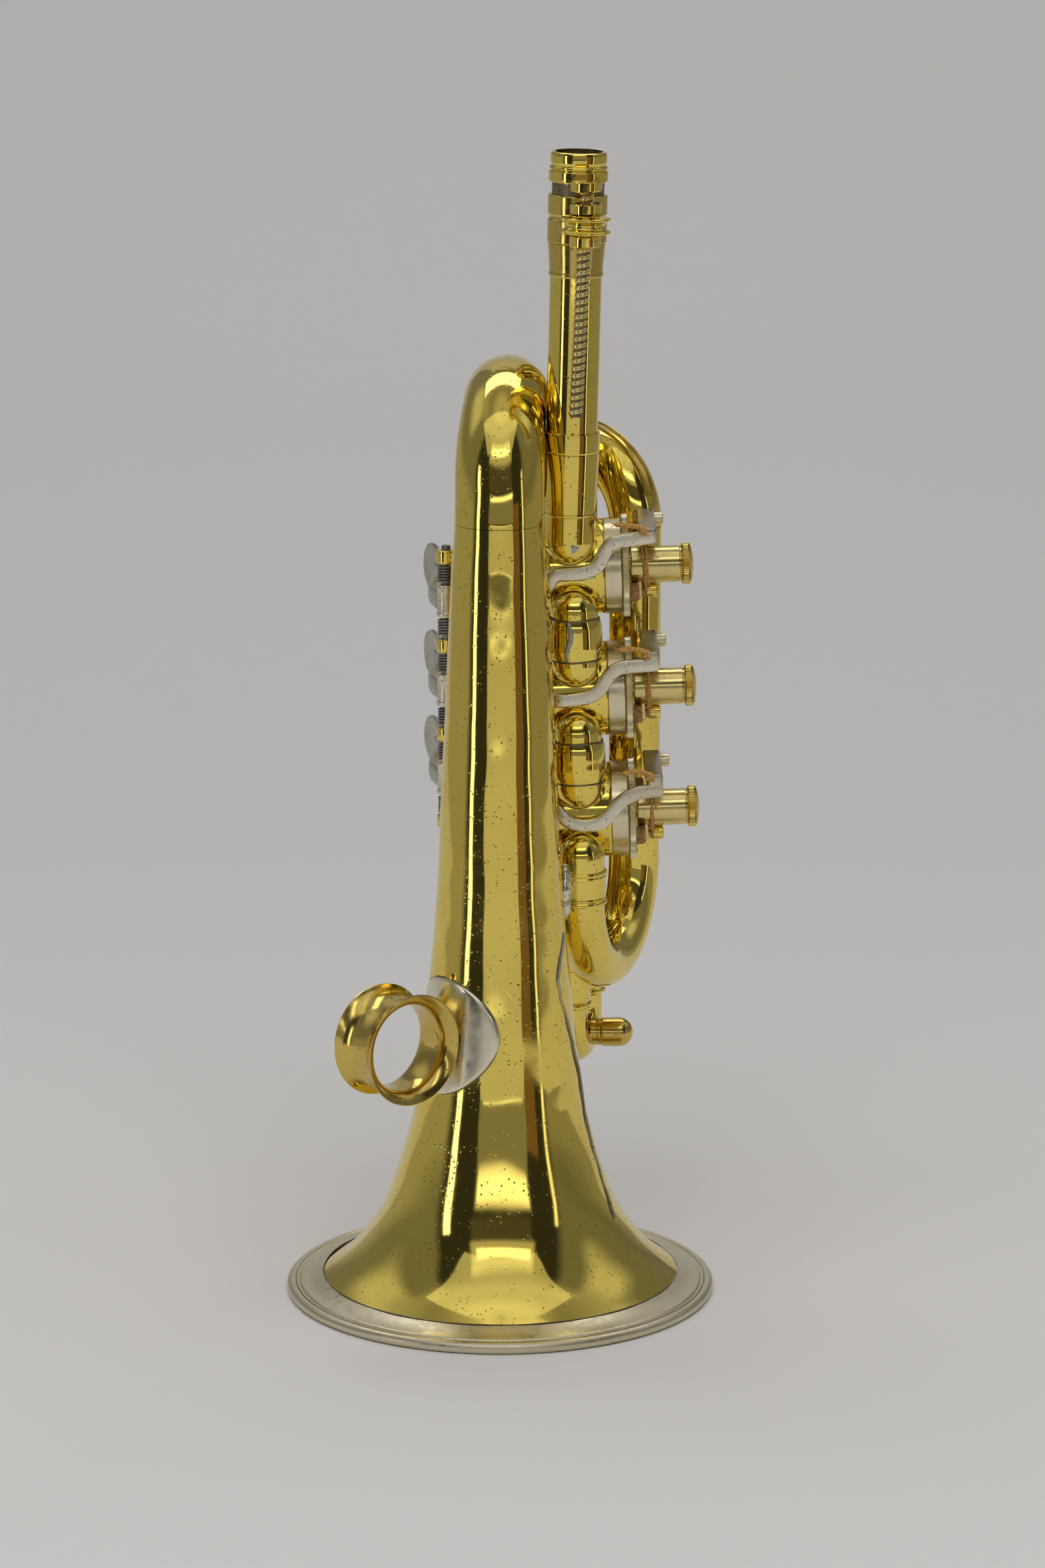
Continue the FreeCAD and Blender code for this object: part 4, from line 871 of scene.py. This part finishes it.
def make_slides():
    r_out, r_in = 6.0, 5.45
    for n, (front, back, way, leg_end, bow_z) in SLIDES.items():
        legs, tips = [], []
        for x, y, side in (front, back):
            port = spot(n, 0, 0, side * PORT_RISE)
            corner, end = P(x, y, port[2]), P(x, y, leg_end)
            legs.append(capsule(corner, end, r_out))
            legs.append(tube(line(corner, P(port[0], ROTORS[n][1] + 8.5, port[2]), 8), r_out, sides=48))
            bead = [(6.0, -10.2), (6.18, -10.0), (6.2, -0.7), (6.08, -0.45), (6.35, -0.2), (6.6, 0.2), (6.65, 0.7), (6.5, 1.2),
                    (6.1, 1.5), (5.55, 1.5), (5.55, -3.0), (6.0, -3.0)]
            tips.append(lathe(fillet(bead, 0.1, 2), end, way, 64))
        piece("slide_%d_outer_legs" % n, legs + tips, BRASS, "horn", ["slide_legs_%d" % n], dent=[(10, 0.06)],
              weighted=False)
        a, b = P(front[0], front[1], bow_z), P(back[0], back[1], bow_z)
        path = np.concatenate([line(a - way * (abs(bow_z - leg_end) + 32), a, 20)[:-1], arc(a, b, way, 41),
                               line(b, b - way * (abs(bow_z - leg_end) + 32), 20)[1:]])
        across = np.cross(unit(b - a), way)
        piece("slide_%d_crook" % n, tube(path, r_in, sides=56, hint=across), BRASS, "slide_%d" % n,
              ["slide_bow_%d" % n], dent=[(10, 0.06)], weighted=False)
    legs = []
    tops = []
    for side in (1, -1):
        root = spot(2, 0, 0, side * PORT_RISE)
        legs.append(tube(line(P(root[0], ROTORS[2][1] + 8.5, root[2]), P(root[0], 56.0, root[2]), 10), r_out, sides=56))
        legs.append(ferrule(P(root[0], 54.2, root[2]), BACK, r_out, 6.5, 0.15, 64))
        tops.append(P(root[0], 60.5, root[2]))
    piece("slide_2_outer_legs", legs, BRASS, "horn", ["slide_legs_2"], weighted=False)
    path = np.concatenate([line(tops[0] - BACK * 16, tops[0], 10)[:-1], arc(tops[0], tops[1], BACK, 41),
                           line(tops[1], tops[1] - BACK * 16, 10)[1:]])
    piece("slide_2_crook", tube(path, r_in, sides=56, hint=P(1, 0, 0)), BRASS, "slide_2", ["slide_bow_2"],
          dent=[(10, 0.06)], weighted=False)
    mid = P(21.9, 58.0, 57.9)
    knob = [(0, 4.0), (4.0, 4.0), (3.8, 5.6), (3.9, 6.9), (3.6, 7.05), (3.9, 7.25), (4.15, 7.5), (4.25, 12.4)]
    knob += [(4.25 * math.cos(t), 12.4 + 4.1 * math.sin(t)) for t in np.linspace(0.2, math.pi / 2, 9)]
    piece("slide_3_knob", lathe(fillet(knob[:8], 0.08) [:-1] + knob[8:], mid, P(1, 0, 0), 64), AGED, "slide_3",
          ["slide_knob"])


# ------------------------------------------------------------------ keys
ARM_FRONT, ARM_T, ARM_H = 14.7, 1.5, 4.0
ARM_LINES = {
    1: ((-6.9, -2.6), (-5.6, -0.1), (-2.6, 0.7), (2.6, 0.8), (6.6, 2.6), (8.7, 6.0), (11.2, 8.9), (15.8, 9.8), (22.6, 10.7)),
    2: ((-6.4, -0.1), (0.2, 0.1), (3.9, 0.8), (6.9, 3.1), (8.8, 6.0), (11.5, 8.3), (16.0, 9.0), (22.8, 9.4)),
    3: ((-6.6, 3.4), (-3.4, 0.2), (1.2, -1.3), (5.6, -0.5), (9.3, 2.8), (12.6, 6.0), (16.6, 7.7), (22.4, 8.2)),
}
ARM_STEPS = {1: (20.9, 18.7, 0.6, 17.3, 0.8, 15.0), 2: (20.9, 18.7, 0.6, 17.3, 0.8, 15.0), 3: (21.3, 19.4, 0.75, 18.2, 0.91, 15.45)}
BRACKET_TOP, BRACKET_BACK = 13.0, 31.5


def make_key(n):
    hinge = HINGES[n]
    body = "key_%d_lever" % n
    z = hinge[2]
    route = [spot(n, u, ARM_FRONT - ROTORS[n][1], w) for u, w in ARM_LINES[n]]
    y_behind, y_step, fall_step, y_edge, fall_edge, route[0][1] = ARM_STEPS[n]
    drop = route[0][2] - z
    edge = ROTORS[n][0] - 7.3
    start = [P(hinge[0] + 2.2, hinge[1] + 0.2, z), P(-4.0, hinge[1] + 0.5, z), P(edge - 8.5, y_behind, z + 0.3 * fall_edge * drop),
             P(edge - 3.7, y_step, z + fall_step * drop), P(edge - 1.7, y_edge, z + fall_edge * drop)]
    path = spline(start + route, 130)
    section = np.array(soft_bar(ARM_T + 0.35, ARM_H, 2.5, 28))
    arm = sweep(path, lambda i: section, BACK)
    end_w = ARM_LINES[n][-1][1]
    front_y = ARM_FRONT - ARM_T / 2 - ROTORS[n][1]
    axes = (ALONG, BACK, ROW)
    bracket = block(spot(n, 20.9, front_y + BRACKET_BACK / 2, BRACKET_TOP - 0.9), (5.0, BRACKET_BACK, 1.8), axes, 0.55)
    rise = BRACKET_TOP - end_w + 1.9
    corner = block(spot(n, 21.3, front_y + 1.25, end_w - 1.9 + rise / 2), (4.4, 2.5, rise), axes, 0.9)
    tab_y = front_y + BRACKET_BACK - 2.5
    tab = block(spot(n, 22.5, tab_y, BRACKET_TOP - 2.7), (1.8, 5.0, 5.4), axes, 0.5)
    barrel = [(1.35, -4.6), (2.5, -4.6), (2.7, -4.3), (2.7, -3.4), (2.45, -3.1), (2.45, 3.1), (2.7, 3.4), (2.7, 4.3), (2.5, 4.6),
              (1.35, 4.6)]
    hub = lathe(fillet(barrel, 0.15, 2), hinge, UP, 64)
    stem = spline([P(hinge[0] - 1.8, hinge[1] + 0.8, z), P(-18.6, 27.0, z), P(-18.6, 42.0, z), P(-17.4, 58.5, z), P(-18.2, 62.0, z)], 50)
    shank_section = np.array(soft_bar(1.8, 6.0, 3.0, 28))
    shank = sweep(stem, lambda i: shank_section * np.array([1, 1 - 0.25 * math.sin(math.pi * i / 49)]), P(1, 0, 0))
    long_way = unit(P(-0.27, 0.96, 0))
    face_way = -np.cross(long_way, UP)
    outline = fillet([(0, 0.75), (0.5, 0.72), (0.85, 0.85), (0.97, 0.75), (1.0, 0.3), (0.97, -0.25), (0.85, -0.7), (0.5, -0.95),
                      (0, -0.95)], 0.05, 2)
    centre = P(-18.7, 68.0, z)
    turns, rows = 72, []
    for r, h in outline:
        rows.append([centre + long_way * r * 10.9 * math.cos(t) + UP * r * 7.25 * math.sin(t) + face_way * h
                     for t in np.linspace(0, 2 * math.pi, turns, endpoint=False)])
    plate = np.concatenate(rows), grid(len(rows), turns, False, True)
    piece("key_%d_string_bracket" % n, [bracket, tab], BRACKET, body, weighted=False)
    piece("key_%d_touch_plate" % n, [shank, plate], TOUCH, body, dent=[(4, 0.12)], weighted=False)
    piece("key_%d_silver_lever" % n, [arm, corner, hub], LEVER, body,
          ["key_%d" % n], dent=[(5, 0.10)], weighted=False)
    head = slotted(spot(n, 23.4, tab_y, BRACKET_TOP - 2.6), ALONG, 1.9, 2.5, ROW)
    piece("key_%d_string_screw" % n, head, SILVER, body)

    # string: two strands along the bracket, the knot with its frayed tail, and the turns on the hub
    top = 5.15 + 0.5
    under = BRACKET_TOP - 1.8 - 0.4
    near = spline([spot(n, 20.9, ARM_FRONT + 2.4 - ROTORS[n][1], under), spot(n, 20.9, ARM_FRONT + 6.0 - ROTORS[n][1], under - 1.2),
                   spot(n, 20.9, -1.0, top + 0.45), spot(n, 20.9, 0.2, top + 0.35)], 60)
    far = spline([spot(n, 20.0, tab_y + 0.5, under), spot(n, 19.9, tab_y * 0.5, (under + top) / 2 + 0.4), spot(n, 19.4, 0.0, top + 0.35)], 60)
    tail = spline([spot(n, 20.4, -15.6, BRACKET_TOP - 0.3), spot(n, 18.6, -16.4, BRACKET_TOP + 0.6),
                   spot(n, 15.4, -16.0, BRACKET_TOP + 1.1), spot(n, 12.4, -15.7, BRACKET_TOP + 1.9 - n * 0.5)], 60)
    knot = coil(spot(n, 19.0, -15.4, BRACKET_TOP - 0.8), ALONG, 0.95, 2.0, 0.9)
    shapes = rope(near, 0.5) + rope(far, 0.5) + rope(tail, 0.72, 3.2) + rope(knot, 0.5)
    for k in range(7):
        tip = spot(n, 12.6, -15.7, BRACKET_TOP + 1.9 - n * 0.5)
        way = P(-1, 0.35 * math.sin(2.4 * k), 0.45 * math.cos(1.9 * k + n))
        shapes.append(tube(spline([tip, tip + way * 0.8, tip + way * 1.7 + UP * 0.25 * math.sin(k)], 8), 0.13, 0.05, 6))
    piece("string_%d_strands" % n, shapes, LINEN, body, ["string_%d" % n], weighted=False)
    turns_on_hub = coil(spot(n, 19.6, 0, 0), ALONG, 5.5, 1.9, 1.0, 40, 0.7 + n)
    down = spline([spot(n, 20.4, -5.3, 2.0), spot(n, 20.2, -5.6, -1.5), spot(n, 20.3, -3.6, -5.2), spot(n, 20.5, -1.9, -7.4)], 40)
    loop = coil(spot(n, 19.9, 0, -7.3), ALONG, 1.45, 1.4, 0.6, 20, 2.2)
    shapes = rope(turns_on_hub, 0.42) + rope(down, 0.42) + rope(loop, 0.38)
    piece("string_%d_hub_turns" % n, shapes, LINEN, "rotor_%d_set" % n, weighted=False)


def make_key_mount():
    rod_x, rod_y = HINGES[1][0], HINGES[1][1]
    base = P(rod_x, rod_y, 0)
    rod = [(0, 127.0), (1.1, 127.0), (1.3, 127.3), (1.3, 206.9), (1.3, 208.0), (1.0, 208.4), (0, 208.4)]
    piece("hinge_steel_rod", lathe(rod, base, UP, 48), STEEL, "horn", ["hinge_rod"])
    posts = []
    for z in (205.2, 180.1, 155.0, 130.0):
        centre = base + UP * z
        way = unit(P(-0.45, 0.89, 0)) if z > 200 else unit(P(-0.35, 0.94, 0))
        root = way * (bell_radius(z) - 0.3) + UP * z
        length = np.linalg.norm(centre - root)
        turned = [(0, 0), (3.4, 0), (3.3, 0.5), (2.3, 1.1), (1.6, 1.9), (1.45, 2.6), (1.5, length), (0, length)]
        posts.append(lathe(fillet(turned, 0.2), root, centre - root, 48))
        barrel = [(0, -1.9), (2.4, -1.9), (2.7, -1.6), (2.7, 1.6), (2.4, 1.9), (0, 1.9)]
        posts.append(lathe(fillet(barrel, 0.2), centre, UP, 48))
    piece("key_pillars", posts, BRASS, "horn", ["key_posts"], weighted=False)
    springs = []
    for n in (1, 2, 3):
        z = HINGES[n][2]
        for low in (z - 10.1, z + 4.95):
            springs.append(tube(coil(base + UP * (low + 0.4), UP, 2.15, 5.6, 0.78, 24), 0.27, sides=10))
    piece("key_coil_springs", springs, STEEL, "horn", ["key_springs"], weighted=False)


make_bell()
make_finger_ring()
make_wrap()
make_stays()
make_leadpipe()
for number in (1, 2, 3):
    make_valve(number)
make_valve_trim()
make_ports()
make_slides()
for number in (1, 2, 3):
    make_key(number)
make_key_mount()


# ------------------------------------------------------------------ stage, light and camera
def make_stage():
    """A sheet of pale paper on a table, swept up behind the object."""
    profile = [(-2.1, 0.0, -1.02, 1.47), (-0.62, 0.0, -0.34, 0.44), (-0.26, 0.0, -0.6, 0.7), (1.5, 0.0, -0.8, 0.9)]
    profile += [(1.5 + 1.0 * math.sin(a), 1.0 - 1.0 * math.cos(a), -0.8, 0.9) for a in np.linspace(0.1, math.pi / 2, 16)]
    profile += [(2.5, 3.4, -0.8, 0.9)]
    points = [(x, y, z) for y, z, left, right in profile for x in (left, right)]
    faces = [(2 * i, 2 * i + 1, 2 * i + 3, 2 * i + 2) for i in range(len(profile) - 1)]
    mesh = bpy.data.meshes.new("paper_sweep")
    mesh.from_pydata(points, [], faces)
    mesh.polygons.foreach_set("use_smooth", [True] * len(faces))
    obj = bpy.data.objects.new("paper_sweep", mesh)
    scene.collection.objects.link(obj)
    mat = bpy.data.materials.new("pale_paper")
    mat.use_nodes = True
    shader = mat.node_tree.nodes["Principled BSDF"]
    nodes, links = mat.node_tree.nodes, mat.node_tree.links
    # The paper's colour runs from lighter at the front to darker at the back: painted shade standing for the light
    # falling off towards the back of the sweep.
    along = nodes.new("ShaderNodeSeparateXYZ")
    links.new(nodes.new("ShaderNodeTexCoord").outputs["Object"], along.inputs[0])
    fall = nodes.new("ShaderNodeMapRange")
    fall.interpolation_type = "SMOOTHSTEP"
    for key, value in zip(("From Min", "From Max"), (-0.3, 0.7)):
        fall.inputs[key].default_value = value
    links.new(along.outputs[1], fall.inputs["Value"])
    paper_painted_shade = nodes.new("ShaderNodeMix")
    paper_painted_shade.data_type = "RGBA"
    paper_painted_shade.inputs[6].default_value = (0.79, 0.775, 0.765, 1)
    paper_painted_shade.inputs[7].default_value = (0.66, 0.648, 0.64, 1)
    links.new(fall.outputs["Result"], paper_painted_shade.inputs[0])
    links.new(paper_painted_shade.outputs[2], shader.inputs["Base Color"])
    shader.inputs["Roughness"].default_value = 0.9
    shader.inputs["Specular IOR Level"].default_value = 0.1
    mesh.materials.append(mat)


# soft boxes and screens round the table: azimuth from the front (+ is right), elevation, softness, colour, strength
LAMPS = (
    (-27, 36, -4, 19.5, 1.0, (1.0, 0.98, 0.95), 0.29),       # pale screen behind the camera
    (-25, 34, 14.8, 18.4, 1.5, (1.0, 0.98, 0.95), 2.5),        # the brightest part of it
    (-29, 33, 22, 35, 2.0, (1.0, 0.9, 0.7), 0.07),         # dark gap over the screen
    (-30, 36, 36, 54, 2.5, (1.0, 0.98, 0.92), 0.7),        # front key above the camera
    (-24, 32, 42, 49, 1.2, (1.0, 1.0, 0.98), 2.0),
    (-59, -52, -30, 28, 0.8, (1.0, 1.0, 1.0), 4.2),        # left strip light
    (61, 64.5, -30, 24, 0.8, (1.0, 0.97, 0.9), 1.9),       # thin gap at the right
    (36.5, 51, -30, 9, 0.8, (1.0, 0.50, 0.13), 0.21),      # edge of a brown board
    (-181, -68, -40, 8, 6.0, (1.0, 0.98, 0.93), 0.44),     # screens at the sides, brighter low down
    (67, 181, -40, 6, 6.0, (1.0, 0.97, 0.9), 0.34),
    (-181, -66, 8, 62, 6.0, (1.0, 1.0, 1.0), 0.24),
    (66, 181, 8, 62, 6.0, (1.0, 1.0, 1.0), 0.22),
    (-140, -104, 30, 54, 9.0, (1.0, 1.0, 1.0), 0.55),      # side soft boxes
    (92, 128, 30, 54, 9.0, (1.0, 1.0, 1.0), 0.6),
    (-200, 200, 58, 90.5, 6.0, (1.0, 0.98, 0.94), 0.33),   # ceiling
    (-200, 200, 76, 90.5, 7.0, (1.0, 0.98, 0.96), 0.30),
)


def make_world():
    world = bpy.data.worlds.new("studio")
    scene.world = world
    world.use_nodes = True
    nodes, links = world.node_tree.nodes, world.node_tree.links

    def math_node(kind, a, b=None, c=None):
        node = nodes.new("ShaderNodeMath")
        node.operation = kind
        for socket, value in zip(node.inputs, (a, b, c)):
            if value is None:
                continue
            if isinstance(value, (int, float)):
                socket.default_value = value
            else:
                links.new(value, socket)
        return node.outputs[0]

    def step(value, low, high):
        node = nodes.new("ShaderNodeMapRange")
        node.interpolation_type = "SMOOTHSTEP"
        node.inputs["From Min"].default_value = low
        node.inputs["From Max"].default_value = high
        links.new(value, node.inputs["Value"])
        return node.outputs["Result"]

    axes = nodes.new("ShaderNodeSeparateXYZ")
    links.new(nodes.new("ShaderNodeTexCoord").outputs["Generated"], axes.inputs[0])
    azimuth = math_node("DEGREES", math_node("ARCTAN2", axes.outputs[0], math_node("MULTIPLY", axes.outputs[1], -1.0)))
    elevation = math_node("DEGREES", math_node("ARCSINE", axes.outputs[2]))
    total = None
    for left, right, low, high, soft, colour, strength in LAMPS:
        mask = math_node("MULTIPLY", step(azimuth, left - soft, left + soft),
                         math_node("SUBTRACT", 1.0, step(azimuth, right - soft, right + soft)))
        mask = math_node("MULTIPLY", mask, math_node("MULTIPLY", step(elevation, low - soft, low + soft),
                                                     math_node("SUBTRACT", 1.0, step(elevation, high - soft, high + soft))))
        lamp = nodes.new("ShaderNodeVectorMath")
        lamp.operation = "SCALE"
        lamp.inputs[0].default_value = [c * strength for c in colour]
        links.new(mask, lamp.inputs["Scale"])
        if total is None:
            total = lamp.outputs[0]
            continue
        added = nodes.new("ShaderNodeVectorMath")
        added.operation = "ADD"
        links.new(total, added.inputs[0])
        links.new(lamp.outputs[0], added.inputs[1])
        total = added.outputs[0]
    room = nodes.new("ShaderNodeVectorMath")
    room.operation = "ADD"
    room.inputs[1].default_value = (0.045, 0.045, 0.045)
    links.new(total, room.inputs[0])
    studio = nodes["Background"]
    studio.inputs["Strength"].default_value = 0.66
    links.new(room.outputs[0], studio.inputs["Color"])
    wall = nodes.new("ShaderNodeBackground")
    wall.inputs["Color"].default_value = (0.44, 0.43, 0.425, 1)
    seen = nodes.new("ShaderNodeMixShader")
    links.new(nodes.new("ShaderNodeLightPath").outputs["Is Camera Ray"], seen.inputs[0])
    links.new(studio.outputs[0], seen.inputs[1])
    links.new(wall.outputs[0], seen.inputs[2])
    links.new(seen.outputs[0], nodes["World Output"].inputs["Surface"])


def panel(name, spot_m, aim_m, width, height, power, colour=(1, 1, 1)):
    light = bpy.data.lights.new(name, "AREA")
    light.shape = "RECTANGLE"
    light.size, light.size_y = width, height
    light.energy = power
    light.color = colour
    obj = bpy.data.objects.new(name, light)
    obj.location = spot_m
    obj.rotation_euler = (Vector(aim_m) - Vector(spot_m)).to_track_quat("-Z", "Y").to_euler()
    scene.collection.objects.link(obj)
    return obj


make_stage()
make_world()
panel("ceiling_softbox", (0.0, -1.0, 2.4), (0.0, -0.9, 0.0), 3.0, 2.0, 8)
fill = panel("ceiling_fill", (0.0, -1.0, 2.45), (0.0, -0.9, 0.0), 3.0, 2.0, 19)
fill.visible_glossy = False
panel("backdrop_softbox", (0.0, 1.5, 2.5), (0.0, 1.6, 0.0), 2.6, 1.0, 17)
panel("table_edge_strip", (0.2, -2.12, 0.003), (0.1, 0.0, 0.003), 2.2, 0.018, 0.22)

camera_data = bpy.data.cameras.new("camera")
camera_data.lens = 122.45
camera_data.sensor_width = 36.0
camera = bpy.data.objects.new("camera", camera_data)
camera.location = (0.00633, -1.4336, 0.4787)
camera.rotation_euler = (math.radians(90 - 13.096), 0, 0)
scene.collection.objects.link(camera)
scene.camera = camera
scene.view_settings.view_transform = "Standard"
